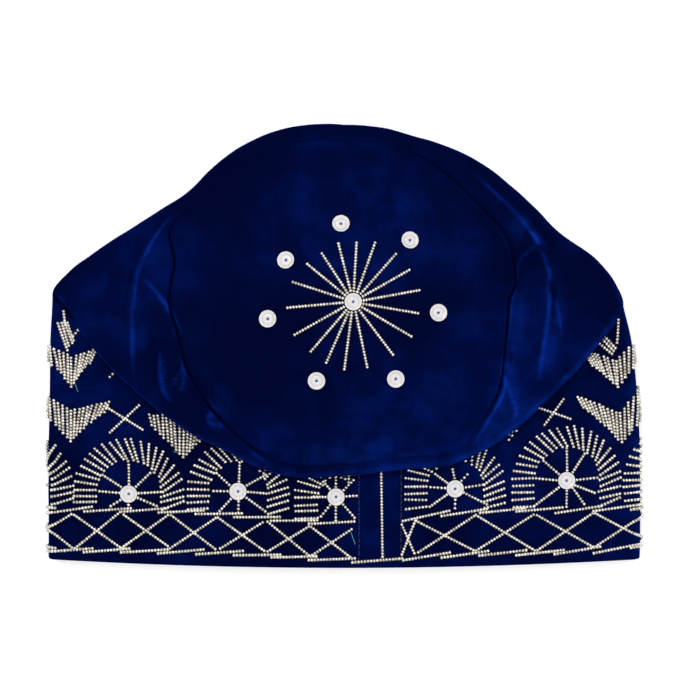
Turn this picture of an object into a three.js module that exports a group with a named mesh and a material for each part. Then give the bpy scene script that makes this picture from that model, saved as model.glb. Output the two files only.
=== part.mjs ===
// A soft velvet cap with sequins, lying on its back with the round crown tipped forward.
// Millimetres. +Z is up, the open rim faces -Y and the crown top faces up.
import * as THREE from 'three';

// Cloth
const CLOTH = 2; // velvet with its backing
const HALF = CLOTH / 2;
const SEAM_GAP = 0.4; // between the crown top and the side wall

// Side wall, flattened into a front and a back panel
const RIM_Y = -108.4; // middle of the rim
const RIM_BOW = 3.8; // the rim's corners lie this much higher than its middle
const RIM_HALF_WIDTH = 145.5;
const EDGE_RADIUS = 3; // side folds, to the middle of the cloth
const MOUTH_BULGE = 4.4; // the front panel rises this much between the side folds
const BEAD_LIFT = 2.2; // the back panel's beaded part stands off the table by this
const BEADED = { hem: 2, low: 9, high: 106, top: 124 }; // heights above the rim
const APEX_UP = 126.4; // where the side folds end, above the rim
const APEX_SLANT = -2.9; // more at the left end, less at the right

// Crown, tipped forward
const CROWN = new THREE.Vector2(-2, 21.7); // middle of the crown as it lies
const CROWN_TILT = 1.2; // degrees that the crown lies turned
const CROWN_RADIUS = 85.5; // crown top, measured along the cloth
const SEAM_INSET = 1.2; // least run of the side wall over the top of its rolled edge
const CROWN_HEIGHT = 24.6; // middle of the crown, to the middle of the cloth
const EVEN_OVER = 16; // degrees either way over which the edge's height evens out inwards

// The tuck under the front of the crown
const CREASE_Y = 8; // where the front panel turns back
const TUCK_RADIUS = 1.8;
const LIP_RADIUS = 2.3;
const TUCK_OPENS = { from: -12, to: 4 }; // overlap over which the tuck turns over
const BACK_ROLL = 3; // the rolled edge is this much higher at the back than at the side folds

// Sequins
const SEQUIN = { radius: 4.2, hole: 0.6, dish: 2.6, depth: 0.6, sheet: 0.4 };
const SEQUIN_GAP = 0.4;

// Mesh
const AROUND = 56;
const CROWDING = 0.35; // sections stand closer together at the side folds
const STEPS = { panel: 7, tuck: 4, under: 4, lip: 4, top: 9 };
const CROWN_STEPS = { edge: 4, face: 8 };

// Outer line of each side fold, out from the middle, by height above the rim
const SIDES = [
  { up: 0, left: 145.5, right: 145.5 },
  { up: 55, left: 145.0, right: 145.2 },
  { up: 80, left: 144.4, right: 143.6 },
  { up: 105, left: 143.5, right: 140.6 },
  { up: 126, left: 142.4, right: 136.0 },
];

// Outline of the upper layer, out from the crown's middle; turn 0 is the front, 180 the back
const OUTLINE = [
  { turn: 0, left: 84.8, right: 84.8 },
  { turn: 14, left: 88.3, right: 85.0 },
  { turn: 24, left: 89.8, right: 88.0 },
  { turn: 34, left: 91.0, right: 95.0 },
  { turn: 44, left: 95.0, right: 100.3 },
  { turn: 54, left: 100.7, right: 105.3 },
  { turn: 66, left: 109.5, right: 112.0 },
  { turn: 76, left: 119.5, right: 121.0 },
  { turn: 84, left: 129.0, right: 130.0 },
  { turn: 90, left: 140.4, right: 138.0 },
  { turn: 95, left: 133.0, right: 134.5 },
  { turn: 100, left: 122.5, right: 127.5 },
  { turn: 108, left: 108.5, right: 113.0 },
  { turn: 116, left: 98.5, right: 106.5 },
  { turn: 124, left: 92.3, right: 101.7 },
  { turn: 134, left: 91.0, right: 97.7 },
  { turn: 146, left: 90.3, right: 92.8 },
  { turn: 158, left: 89.5, right: 88.8 },
  { turn: 170, left: 88.0, right: 87.5 },
  { turn: 180, left: 86.8, right: 86.8 },
];

// Folds in the upper layer: a crest through three places, and how far each flank runs out.
// In turn: left shoulder, left seam, right seam, right shoulder, right of the back.
const FOLDS = [
  { x1: -77, y1: 74, x2: -99, y2: 36, x3: -102, y3: -19, rise: 5.5, left: 22, right: 5 },
  { x1: -97, y1: 33, x2: -77, y2: -3, x3: -44, y3: -49, rise: 1.6, left: 5, right: 8 },
  { x1: 94, y1: 51, x2: 79, y2: 13, x3: 61, y3: -49, rise: 2.2, left: 9, right: 6 },
  { x1: 97, y1: 46, x2: 99, y2: 16, x3: 94, y3: -19, rise: 4.2, left: 5, right: 22 },
  { x1: 49, y1: 85, x2: 73, y2: 63, x3: 84, y3: 39, rise: 1.8, left: 8, right: 6 },
];

// Sequins on the crown top
const CROWN_SEQUINS = [
  { name: 'middle', x: 4.4, y: 21.2 },
  { name: 'back', x: -1.5, y: 58.8 },
  { name: 'back_right', x: 31.7, y: 51.0 },
  { name: 'right', x: 45.4, y: 15.9 },
  { name: 'front_right', x: 24.9, y: -15.9 },
  { name: 'front_left', x: -13.2, y: -16.8 },
  { name: 'left', x: -36.6, y: 12.9 },
  { name: 'back_left', x: -27.8, y: 41.2 },
];

// Sequins round the side wall: along from the front's middle line, and up from the rim
const WALL_SEQUINS = [
  { along: -266.0, up: 37.0 },
  { along: -212.4, up: 36.5 },
  { along: -158.8, up: 36.0 },
  { along: -105.2, up: 34.1 },
  { along: -51.7, up: 37.0 },
  { along: -3.9, up: 34.8 },
  { along: 54.1, up: 38.2 },
  { along: 108.6, up: 40.5 },
  { along: 163.0, up: 39.0 },
  { along: 217.0, up: 38.0 },
  { along: 270.0, up: 37.5 },
];

const radians = THREE.MathUtils.degToRad;

function ease(from, to, x) {
  const t = THREE.MathUtils.clamp((x - from) / (to - from), 0, 1);
  return t * t * (3 - 2 * t);
}

// A smooth curve through a table's rows
function follow(rows, key, column, x) {
  let k = 0;
  while (k < rows.length - 2 && x > rows[k + 1][key]) k += 1;
  const slope = (m) => {
    const a = rows[Math.max(m - 1, 0)];
    const b = rows[Math.min(m + 1, rows.length - 1)];
    return (b[column] - a[column]) / (b[key] - a[key]);
  };
  const [p, q] = [rows[k], rows[k + 1]];
  const span = q[key] - p[key];
  const t = THREE.MathUtils.clamp((x - p[key]) / span, 0, 1);
  const u = 1 - t;
  return (1 + 2 * t) * u * u * p[column] + t * u * u * span * slope(k)
    + t * t * (3 - 2 * t) * q[column] - t * t * u * span * slope(k + 1);
}

const sideOf = (value) => (value < 0 ? 'left' : 'right');

// The side wall's panels, to the middle of the cloth
const rimY = (x) => RIM_Y + RIM_BOW * (x / RIM_HALF_WIDTH) ** 2;
const halfWidth = (side, up) => follow(SIDES, 'up', side, Math.min(up, 126)) - HALF;
const beadLift = (up) => BEAD_LIFT * (1 - ease(BEADED.high, BEADED.top, up));
const lowLevel = (up) => HALF + beadLift(up) * ease(BEADED.hem, BEADED.low, up);
const highLevel = (up) => HALF + beadLift(up) + 2 * EDGE_RADIUS;

// Where a section of the wall runs: how far across, and how flat the panel is there
function lane(turn, up) {
  const share = turn > 90 || turn < -90 ? (180 - Math.abs(turn)) / 90 : Math.abs(turn) / 90;
  const flat = halfWidth(sideOf(turn), up) - EDGE_RADIUS;
  const along = share * (flat + EDGE_RADIUS * Math.PI / 2);
  const angle = Math.max(0, along - flat) / EDGE_RADIUS;
  const out = Math.min(along, flat) + EDGE_RADIUS * Math.sin(angle);
  return { x: Math.sign(turn) * out, flatness: Math.cos(angle) };
}

function frontHeight(x, up) {
  const width = halfWidth(sideOf(x), up);
  const over = THREE.MathUtils.clamp((Math.abs(x) - width + EDGE_RADIUS) / EDGE_RADIUS, 0, 1);
  const flatness = Math.sqrt(1 - over * over);
  const middle = (lowLevel(up) + highLevel(up)) / 2;
  const bulge = MOUTH_BULGE * Math.max(0, 1 - (x / width) ** 2);
  return middle + flatness * ((highLevel(up) - lowLevel(up)) / 2 + bulge);
}

function backHeight(flatness, up) {
  const middle = (lowLevel(up) + highLevel(up)) / 2;
  return middle - flatness * (highLevel(up) - lowLevel(up)) / 2;
}

// The upper layer's outline, to the middle of the cloth
const wrap = (turn) => THREE.MathUtils.euclideanModulo(turn + 180, 360) - 180;
const reach = (turn) => follow(OUTLINE, 'turn', sideOf(wrap(turn)), Math.abs(wrap(turn)));

function heading(turn) {
  const angle = radians(turn - CROWN_TILT);
  return new THREE.Vector2(Math.sin(angle), -Math.cos(angle));
}

const outlinePoint = (turn) => heading(turn).multiplyScalar(reach(turn)).add(CROWN);

function outline(turn) {
  const ahead = outlinePoint(turn + 1.5).sub(outlinePoint(turn - 1.5)).normalize();
  const inward = new THREE.Vector2(-ahead.y, ahead.x);
  return { point: outlinePoint(turn).addScaledVector(inward, HALF), inward };
}

// A line of places on the cloth, with its length so far at each
class Path {
  constructor() {
    this.places = [];
    this.length = 0;
  }

  add(plan, z) {
    const place = new THREE.Vector3(plan.x, plan.y, z);
    const last = this.places.at(-1);
    if (last) this.length += place.distanceTo(last.place);
    this.places.push({ place, length: this.length });
  }

  at(length) {
    let k = 0;
    while (k < this.places.length - 2 && length > this.places[k + 1].length) k += 1;
    const [a, b] = [this.places[k], this.places[k + 1]];
    const t = THREE.MathUtils.clamp((length - a.length) / (b.length - a.length || 1), 0, 1);
    return a.place.clone().lerp(b.place, t);
  }

  // A place and the way the cloth runs there
  station(length) {
    return { place: this.at(length), ahead: this.at(length + 0.6).sub(this.at(length - 0.6)) };
  }
}

const FINE = 24;

// Front: up the panel, over the tuck, back under the crown and over the lip
function frontPath(turn) {
  const path = new Path();
  const { point, inward } = outline(turn);
  const overlap = CREASE_Y - point.y;
  const swing = Math.PI * ease(TUCK_OPENS.from, TUCK_OPENS.to, overlap);
  const creaseUp = CREASE_Y - rimY(point.x);
  const crease = new THREE.Vector2(lane(turn, creaseUp).x, CREASE_Y).sub(point);
  const depth = Math.max(0, 1 - TUCK_OPENS.to / Math.max(overlap, 0.1)) * crease.length();
  const inside = inward.clone().lerp(crease.normalize(), ease(4, 14, overlap)).normalize();
  const setIn = swing > Math.PI / 2 ? LIP_RADIUS * (1 - Math.sin(swing)) : 0;
  const lipStart = point.clone().addScaledVector(inward, setIn);
  const tuckEnd = lipStart.clone().addScaledVector(inside, -depth * Math.cos(swing));
  const tuckStart = tuckEnd.clone().addScaledVector(inside, -TUCK_RADIUS * Math.sin(swing));

  const upEnd = tuckStart.y - rimY(tuckStart.x);
  const endX = lane(turn, upEnd).x;
  const miss = tuckStart.clone().sub(new THREE.Vector2(endX, rimY(endX) + upEnd));
  for (let i = 0; i <= FINE; i += 1) {
    const up = upEnd * i / FINE;
    const { x } = lane(turn, up);
    const plan = new THREE.Vector2(x, rimY(x) + up).addScaledVector(miss, (i / FINE) ** 2);
    path.add(plan, frontHeight(plan.x, up));
  }
  const marks = [path.length];
  const base = path.places.at(-1).place.z;
  for (let i = 1; i <= FINE; i += 1) {
    const angle = swing * i / FINE;
    const plan = tuckStart.clone().addScaledVector(inside, TUCK_RADIUS * Math.sin(angle));
    path.add(plan, base + TUCK_RADIUS * (1 - Math.cos(angle)));
  }
  marks.push(path.length);
  const turned = path.places.at(-1).place.z;
  const level = (plan) => frontHeight(plan.x, plan.y - rimY(plan.x));
  for (let i = 1; i <= FINE; i += 1) {
    const plan = tuckEnd.clone().lerp(lipStart, i / FINE);
    path.add(plan, turned + level(plan) - level(tuckEnd));
  }
  marks.push(path.length);
  const lip = path.places.at(-1).place.z;
  let edge = path.length;
  for (let i = 1; i <= FINE; i += 1) {
    const angle = swing * (1 - i / FINE);
    const across = LIP_RADIUS * (Math.sin(swing) - Math.sin(angle));
    path.add(lipStart.clone().addScaledVector(inward, across),
      lip + LIP_RADIUS * (Math.cos(angle) - Math.cos(swing)));
    if (angle >= Math.PI / 2) edge = path.length;
  }
  const { flatness } = lane(turn, 0);
  const begin = Math.asin(flatness);
  const { x, y, z } = path.places.at(-1).place;
  for (let i = 1; i <= FINE && flatness < 1; i += 1) {
    const angle = THREE.MathUtils.lerp(begin, Math.PI / 2, i / FINE);
    const across = EDGE_RADIUS * (Math.cos(begin) - Math.cos(angle));
    path.add(new THREE.Vector2(x, y).addScaledVector(inward, across),
      z + EDGE_RADIUS * (Math.sin(angle) - flatness));
  }
  marks.push(path.length);
  return { path, marks, edge };
}

// Back: up the panel and over the rolled edge
function backPath(turn) {
  const path = new Path();
  const { point, inward } = outline(turn);
  const { x: rimX, flatness } = lane(turn, 0);
  const upEnd = APEX_UP + APEX_SLANT * rimX / RIM_HALF_WIDTH;
  const radius = EDGE_RADIUS + BACK_ROLL * ease(90, 150, Math.abs(turn)) / 2;
  const begin = -Math.asin(flatness);
  const low = HALF + radius * (1 - flatness);
  const rollStart = point.clone().addScaledVector(inward, radius * (1 - Math.cos(begin)));
  let crease = 0;
  for (let i = 0; i <= FINE; i += 1) {
    const up = upEnd * i / FINE;
    const { x } = lane(turn, up);
    path.add({ x, y: rimY(x) + up }, backHeight(flatness, up));
    if (rimY(x) + up <= CREASE_Y) crease = path.length;
  }
  const panelEnd = path.places.at(-1).place.clone();
  for (let i = 1; i <= FINE; i += 1) {
    const t = i / FINE;
    const plan = new THREE.Vector2(panelEnd.x, panelEnd.y).lerp(rollStart, t);
    path.add(plan, THREE.MathUtils.lerp(panelEnd.z, low, t));
  }
  const start = path.length;
  let edge = start;
  for (let i = 1; i <= FINE; i += 1) {
    const angle = THREE.MathUtils.lerp(begin, Math.PI / 2, i / FINE);
    const plan = point.clone().addScaledVector(inward, radius * (1 - Math.cos(angle)));
    path.add(plan, HALF + radius * (1 + Math.sin(angle)));
    if (angle <= 0) edge = path.length;
  }
  const marks = [crease, crease + 0.3 * (start - crease), start, path.length];
  return { path, marks, edge };
}

const layers = (turn) => (Math.abs(turn) <= 90 ? frontPath(turn) : backPath(turn));

// Height of the upper layer's edge by whole degrees, evened out over its neighbours
const edgeHeights = [];
for (let turn = -180; turn < 180; turn += 1) edgeHeights.push(layers(turn).path.places.at(-1).place.z);
const EVEN_EDGE = [];
for (let turn = -180; turn <= 180; turn += 1) {
  let sum = 0;
  for (let k = -EVEN_OVER; k <= EVEN_OVER; k += 1) sum += edgeHeights[(turn + k + 540) % 360];
  EVEN_EDGE.push({ turn, z: sum / (2 * EVEN_OVER + 1) });
}

function foldRise(x, y) {
  let rise = 0;
  for (const fold of FOLDS) {
    const [from, to] = [new THREE.Vector2(fold.x1, fold.y1), new THREE.Vector2(fold.x3, fold.y3)];
    const bend = new THREE.Vector2(fold.x2, fold.y2).multiplyScalar(2)
      .addScaledVector(from, -0.5).addScaledVector(to, -0.5);
    const crest = new THREE.QuadraticBezierCurve(from, bend, to);
    let best = { away: Infinity };
    for (let i = 0; i <= FINE; i += 1) {
      const place = crest.getPoint(i / FINE);
      const away = Math.hypot(x - place.x, y - place.y);
      if (away < best.away) best = { away, place, t: i / FINE };
    }
    const ahead = crest.getTangent(best.t);
    const onLeft = ahead.x * (y - best.place.y) - ahead.y * (x - best.place.x) > 0;
    const flank = onLeft ? fold.left : fold.right;
    rise += fold.rise * Math.exp(-((best.away / flank) ** 2)) * (1 - (2 * best.t - 1) ** 4);
  }
  return rise;
}

// Height of the upper layer over the plan, to the middle of the cloth
function crownHeight(plan) {
  const from = plan.clone().sub(CROWN);
  const turn = wrap(THREE.MathUtils.radToDeg(Math.atan2(from.x, -from.y)) + CROWN_TILT);
  const share = Math.min(1, from.length() / (reach(turn) - HALF - LIP_RADIUS));
  const edge = follow(EVEN_EDGE, 'turn', 'z', turn);
  const folds = foldRise(plan.x, plan.y) * (1 - ease(0.84, 0.98, share));
  return CROWN_HEIGHT + (edge - CROWN_HEIGHT) * ease(0, 1, share) + folds;
}

// One section of the whole cap, from the rim to the crown's middle
function section(turn) {
  const { path, marks, edge } = layers(turn);
  const start = path.places.at(-1).place.clone();
  const startPlan = new THREE.Vector2(start.x, start.y);
  const step = start.z - crownHeight(startPlan);
  for (let i = 1; i <= 2 * FINE; i += 1) {
    const t = i / (2 * FINE);
    const plan = startPlan.clone().lerp(CROWN, t);
    path.add(plan, crownHeight(plan) + step * (1 - ease(0, 0.2, t)));
  }
  const wanted = edge + reach(turn) - CROWN_RADIUS;
  const least = marks[3] + SEAM_INSET;
  const seam = (wanted + least + Math.hypot(wanted - least, 4)) / 2;
  return { path, marks, seam };
}

function spread(path, stops, counts) {
  const stations = [path.station(stops[0])];
  counts.forEach((count, k) => {
    for (let i = 1; i <= count; i += 1) {
      stations.push(path.station(THREE.MathUtils.lerp(stops[k], stops[k + 1], i / count)));
    }
  });
  return stations;
}

function wallSection({ path, marks, seam }) {
  const end = seam - SEAM_GAP / 2;
  const counts = [STEPS.panel, STEPS.tuck, STEPS.under, STEPS.lip, STEPS.top];
  const stops = [0, ...marks, end];
  for (let k = 4; k > 0; k -= 1) stops[k] = Math.min(stops[k], stops[k + 1] - 0.95 * counts[k]);
  return spread(path, stops, counts);
}

function crownSection({ path, marks, seam }) {
  const start = seam + SEAM_GAP / 2;
  const edge = Math.max(marks[3], start + 6);
  return spread(path, [start, edge, path.length], [CROWN_STEPS.edge, CROWN_STEPS.face]);
}

// A closed sheet of cloth from rows of stations, open at both ends or closed in the middle
function cloth(rows, closedMiddle) {
  const around = rows.length;
  const along = rows[0].length;
  const last = closedMiddle ? along - 1 : along;
  const positions = [];
  const index = [];
  const put = (p) => positions.push(p.x, p.y, p.z) / 3 - 1;
  const layer = (offset) => {
    const grid = rows.map((row, i) => {
      const before = rows[(i + around - 1) % around];
      const after = rows[(i + 1) % around];
      return row.slice(0, last).map(({ place, ahead }, j) => {
        const facing = after[j].place.clone().sub(before[j].place).cross(ahead).normalize();
        return put(place.clone().addScaledVector(facing, offset));
      });
    });
    if (!closedMiddle) return { grid };
    const { x, y, z } = rows[0][last].place;
    return { grid, middle: put(new THREE.Vector3(x, y, z + offset)) };
  };
  const outer = layer(HALF);
  const inner = layer(-HALF);
  const at = (k) => new THREE.Vector3().fromArray(positions, 3 * k);
  const quad = (a, b, c, d) => {
    const short = at(a).distanceTo(at(c)) <= at(b).distanceTo(at(d));
    index.push(...(short ? [a, b, c, a, c, d] : [a, b, d, b, c, d]));
  };
  for (let i = 0; i < around; i += 1) {
    const k = (i + 1) % around;
    const [o, p] = [outer.grid[i], outer.grid[k]];
    const [m, n] = [inner.grid[i], inner.grid[k]];
    for (let j = 0; j < last - 1; j += 1) {
      quad(o[j], p[j], p[j + 1], o[j + 1]);
      quad(m[j], m[j + 1], n[j + 1], n[j]);
    }
    quad(o[0], m[0], n[0], p[0]);
    if (closedMiddle) {
      index.push(o[last - 1], p[last - 1], outer.middle);
      index.push(m[last - 1], inner.middle, n[last - 1]);
    } else {
      quad(o[last - 1], p[last - 1], n[last - 1], m[last - 1]);
    }
  }
  const geometry = new THREE.BufferGeometry();
  geometry.setAttribute('position', new THREE.Float32BufferAttribute(positions, 3));
  geometry.setIndex(index);
  geometry.computeVertexNormals();
  return geometry;
}

// A small round sequin with a dished middle and a hole
function sequinGeometry() {
  const { radius, hole, dish, depth, sheet } = SEQUIN;
  const profile = [
    [hole, 0],
    [dish, 0],
    [radius, depth],
    [radius, depth + sheet],
    [dish, depth + sheet],
    [hole, sheet],
    [hole, 0],
  ];
  return new THREE.LatheGeometry(profile.map(([r, y]) => new THREE.Vector2(r, y)), 10)
    .rotateX(Math.PI / 2);
}

// A sequin on the cloth, facing away from it
function sequin(name, surface, x, y, facing) {
  const lean = 2;
  const slopeX = (surface(x + lean, y) - surface(x - lean, y)) / (2 * lean);
  const slopeY = (surface(x, y + lean) - surface(x, y - lean)) / (2 * lean);
  const normal = new THREE.Vector3(-slopeX, -slopeY, 1).normalize().multiplyScalar(facing);
  const mesh = new THREE.Mesh(sequinGeometry(), SEQUIN_FILM);
  mesh.name = name;
  mesh.position.set(x, y, surface(x, y)).addScaledVector(normal, HALF + SEQUIN_GAP);
  mesh.quaternion.setFromUnitVectors(new THREE.Vector3(0, 0, 1), normal);
  return mesh;
}

const VELVET = new THREE.MeshStandardMaterial({ color: 0x060f45, roughness: 0.9, metalness: 0 });
const SEQUIN_FILM = new THREE.MeshStandardMaterial({ color: 0xeceff2, roughness: 0.25, metalness: 0 });

const sections = [];
for (let i = 0; i < AROUND; i += 1) {
  const even = 2 * Math.PI * i / AROUND;
  sections.push(section(wrap(THREE.MathUtils.radToDeg(even + CROWDING * Math.sin(2 * even)))));
}

const cap = new THREE.Group();
cap.name = 'velvet_cap';

const sideWall = new THREE.Mesh(cloth(sections.map(wallSection), false), VELVET);
sideWall.name = 'side_wall';
const crownTop = new THREE.Mesh(cloth(sections.map(crownSection), true), VELVET);
crownTop.name = 'crown_top';
cap.add(sideWall, crownTop);

for (const { name, x, y } of CROWN_SEQUINS) {
  cap.add(sequin(`crown_sequin_${name}`, (u, v) => crownHeight(new THREE.Vector2(u, v)), x, y, 1));
}

const QUARTER = RIM_HALF_WIDTH - HALF + EDGE_RADIUS * (Math.PI / 2 - 1); // a quarter of the rim
WALL_SEQUINS.forEach(({ along, up }, k) => {
  const { x } = lane(wrap(90 * along / QUARTER), up);
  const isFront = Math.abs(along) < QUARTER;
  const surface = isFront
    ? (u, v) => frontHeight(u, v - rimY(u))
    : (u, v) => backHeight(1, v - rimY(u));
  cap.add(sequin(`wall_sequin_${k + 1}`, surface, x, rimY(x) + up, isFront ? 1 : -1));
});

// The origin lies at the middle of the cap's underside
const box = new THREE.Box3().setFromObject(cap, true);
const middle = box.getCenter(new THREE.Vector3());
cap.children.forEach((piece) => piece.position.sub(new THREE.Vector3(middle.x, middle.y, box.min.z)));

export default cap;
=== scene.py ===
import math

import bpy
import numpy as np
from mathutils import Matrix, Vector, noise


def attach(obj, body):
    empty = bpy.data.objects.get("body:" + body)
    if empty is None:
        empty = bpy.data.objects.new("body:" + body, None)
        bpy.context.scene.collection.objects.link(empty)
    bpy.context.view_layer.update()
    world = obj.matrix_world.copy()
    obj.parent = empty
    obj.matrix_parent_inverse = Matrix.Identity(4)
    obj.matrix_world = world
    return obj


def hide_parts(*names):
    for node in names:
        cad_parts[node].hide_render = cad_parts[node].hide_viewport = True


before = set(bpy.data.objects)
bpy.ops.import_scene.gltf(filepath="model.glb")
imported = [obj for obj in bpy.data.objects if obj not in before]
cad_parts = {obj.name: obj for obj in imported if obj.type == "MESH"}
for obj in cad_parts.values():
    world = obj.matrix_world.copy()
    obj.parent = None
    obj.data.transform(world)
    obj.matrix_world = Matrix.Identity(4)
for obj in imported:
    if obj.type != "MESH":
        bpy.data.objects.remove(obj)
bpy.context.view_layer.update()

bl_info = {
    "name": "Velvet cap",
    "version": (1, 0, 0),
    "blender": (4, 5, 0),
    "location": "View3D > Sidebar > Cap",
    "description": "A beaded velvet cap that lies flat, with its studio",
    "category": "Object",
}

MM = 0.001
SEED = 11

# The cap's form, in millimetres. +Z is up and the rim faces -Y.
HALF = 1.0  # half the cloth's thickness
SEAM_GAP = 0.4
RIM_Y = -108.4
RIM_BOW = 3.8
RIM_HALF_WIDTH = 145.5
EDGE_RADIUS = 3.0
MOUTH_BULGE = 4.4
BEAD_LIFT = 2.2
BEADED = {"hem": 2.0, "low": 9.0, "high": 106.0, "top": 124.0}
APEX_UP = 126.4
APEX_SLANT = -2.9
CROWN = np.array((-2.0, 21.7))
CROWN_TILT = 1.2
CROWN_HEIGHT = 24.6
EVEN_OVER = 16
SEAM_INSET = 1.2
CREASE_Y = 8.0
TUCK_RADIUS = 1.8
LIP_RADIUS = 2.3
TUCK_OPENS = (-12.0, 4.0)
BACK_ROLL = 3.0
QUARTER = RIM_HALF_WIDTH - HALF + EDGE_RADIUS * (math.pi / 2 - 1)

# Outer line of each side fold by height above the rim
SIDES = {
    "up": (0, 55, 80, 105, 126),
    "left": (145.5, 145.2, 144.9, 144.5, 143.8),
    "right": (145.5, 145.4, 144.2, 141.6, 137.3),
}

# Outline of the upper layer, out from the crown's middle; turn 0 is the front
OUTLINE = {
    "turn": (0, 14, 24, 34, 44, 54, 66, 76, 84, 90, 95, 100, 108, 116, 124, 134, 146, 158, 170, 180),
    "left": (
        84.8, 88.3, 89.8, 91.0, 95.0, 100.7, 109.5, 119.8, 129.8, 141.8,
        134.6, 123.8, 109.4, 99.2, 92.8, 91.4, 90.7, 90.0, 88.5, 87.3,
    ),
    "right": (
        84.8, 85.0, 88.0, 95.0, 100.3, 105.3, 112.0, 121.3, 130.8, 139.3,
        136.2, 129.2, 114.2, 107.4, 102.4, 98.2, 93.3, 89.3, 88.0, 87.3,
    ),
}

FOLD_COLUMNS = ("name", "line", "rise", "left", "right", "glint")


def under_columns(columns, *rows):
    """Rows of a table, by column."""
    return [dict(zip(columns, row)) for row in rows]


# Folds in the upper layer: a crest through three places (x, y), its rise, and how far the
# flanks on its left and right run out
FOLDS = under_columns(
    FOLD_COLUMNS,
    ("left shoulder", ((-77, 74), (-99, 36), (-102, -19)), 5.5, 22, 5),
    ("left seam", ((-97, 33), (-77, -3), (-44, -49)), 1.6, 5, 8),
    ("right seam", ((94, 51), (79, 13), (61, -49)), 2.2, 9, 6),
    ("right shoulder", ((97, 46), (99, 16), (94, -19)), 4.2, 5, 22),
    ("back right", ((49, 85), (73, 63), (84, 39)), 1.8, 8, 6),
)

# Sequins on the crown top, and round the wall: along from the front's middle, up from the rim
CROWN_SEQUINS = {
    "name": ("middle", "back", "back_right", "right", "front_right", "front_left", "left", "back_left"),
    "x": (4.4, -1.5, 31.7, 45.4, 24.9, -13.2, -36.6, -27.8),
    "y": (21.2, 58.8, 51.0, 15.9, -15.9, -16.8, 12.9, 41.2),
}
WHEELS = {
    "along": (-266.0, -212.4, -158.8, -105.2, -51.7, -3.9, 54.1, 108.6, 163.0, 217.0, 270.0),
    "up": (37.0, 36.5, 36.0, 34.1, 37.0, 34.8, 38.2, 40.5, 39.0, 38.0, 37.5),
    "arch_in": (16.0, 16.0, 16.0, 16.2, 14.5, 9.0, 14.0, 16.2, 16.0, 16.0, 15.0),
    "arch_out": (25.0, 26.0, 26.4, 27.0, 24.6, 20.0, 24.4, 26.4, 26.0, 26.0, 24.0),
}

# The crown seam's way out from the crown's middle
SEAM = {
    "turn": (
        -180, -150, -124, -112, -108, -103, -96, -85, -77, -64, -56, -42, -30, -21, 0, 20,
        41, 46, 53, 62, 71, 81, 92, 98, 110, 118, 128, 141, 154, 163, 180,
    ),
    "radius": (
        85, 86, 88.5, 90, 86.6, 83.5, 83, 82.7, 80.4, 80.9, 81, 81.8, 83.6, 86, 85, 88,
        94.4, 91.4, 89.5, 87.8, 83.8, 81.8, 82.4, 85.8, 87.8, 86.3, 83, 82, 83.3, 84.2, 85,
    ),
}

# Fine creases of the upper layer: a line of places (x, y), its rise, how far the flanks
# on its left and right run out, and how strong the painted highlight (or painted shade, below nought) is on
# it
CREASES = under_columns(
    FOLD_COLUMNS,
    (
        "left shoulder crest", ((-77, 74), (-87, 59.5), (-96, 45), (-99.5, 36), (-101, 25), (-102.4, 15),
        (-102.4, 0), (-102, -20)), 0.8, 5, 1.8, 0.8
    ),
    (
        "left shoulder valley", ((-100.5, 45), (-104.5, 30), (-106.3, 14.6), (-106.3, 0)), -0.4, 2, 2,
        -0.35
    ),
    ("left outer ripple", ((-105.4, 10.7), (-108, 2), (-110.2, -7.3)), 0.7, 3, 4, 0.35),
    ("left upper tuck", ((-87.3, 56), (-84.4, 48), (-82.9, 40.5), (-84.4, 30)), -0.6, 2, 3, -0.5),
    ("left bridge", ((-99, 34), (-89.3, 23.4), (-83.4, 14.6), (-79, 4.4)), 0.9, 1.8, 5, 0.7),
    ("left gather", ((-89.3, 0.5), (-88.3, -19.5), (-83.4, -28.3)), 1.0, 3, 4, 0.5),
    ("left fork", ((-77.6, -9.3), (-80.5, -14.5), (-83.4, -19.5)), 0.8, 3, 3, 0.6),
    ("left stroke", ((-80, -3), (-77.1, -14), (-80, -24)), 0.6, 3, 3, 0.5),
    ("left hook", ((-67.8, -23.4), (-63.4, -29.3), (-65.4, -36.6), (-55.6, -38.5)), 0.8, 3, 3, 0.5),
    ("left hem pucker", ((-47.3, -49.3), (-33.7, -60), (-26.3, -64)), 0.5, 3, 3, 0.8),
    (
        "right seam crest", ((95, 51), (86.3, 41.5), (83.8, 32), (81, 19.5), (78.5, 3), (76.3, -12.6),
        (76.6, -22), (68, -38), (61, -50)), 1.2, 6, 2.2, 0.8
    ),
    (
        "right shoulder crest", ((95, 49), (97, 43), (99, 36), (100, 29), (98.5, 13.7), (96.8, 2.4),
        (94.6, -10), (94.6, -17)), 1.2, 1.8, 7, 0.7
    ),
    ("right shoulder valley", ((99.8, 33.7), (101.2, 20.5), (100.7, 13.7)), -1.2, 1.6, 1.6, -0.9),
    ("right outer ripple", ((101.2, 25), (103.8, 13.7), (105.9, 3)), 0.9, 5, 2, 0.5),
    ("right fork", ((76.6, -14), (80.3, -24), (83, -31.7), (82, -38)), 1.0, 4, 2.5, 0.6),
    ("right pouch", ((90.7, 57), (93.2, 53.7), (95, 49.3)), 0.8, 3, 3, 0.7),
    (
        "right back crest", ((61.5, 87), (70, 78.5), (79.3, 69.5), (88.5, 59.5), (94.5, 50.5)), 0.6, 2, 4,
        0.35
    ),
    (
        "right back valley", ((75, 83.4), (84, 74.6), (92.5, 63.4), (99.5, 52.7), (104, 44)), -0.7, 2, 2,
        -0.8
    ),
    ("right tip loop", ((130.7, 30.2), (133.4, 25), (136, 21.5)), 0.5, 2, 2, 0.7),
)

TIP_EDGE = ((-142.6, 26.0), (-130.0, 12.2))  # the upper layer's edge beside the left tip
CREASE_STEPS = 40
CREST_WIDTH = 0.95
FLANK_LIGHT = 0.15  # light of a crease's flanks against its crest
SLOPE_LIGHT = 1.0  # how strong the painted light is on slopes that face right and front, and the painted shade on those facing left and back
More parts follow.
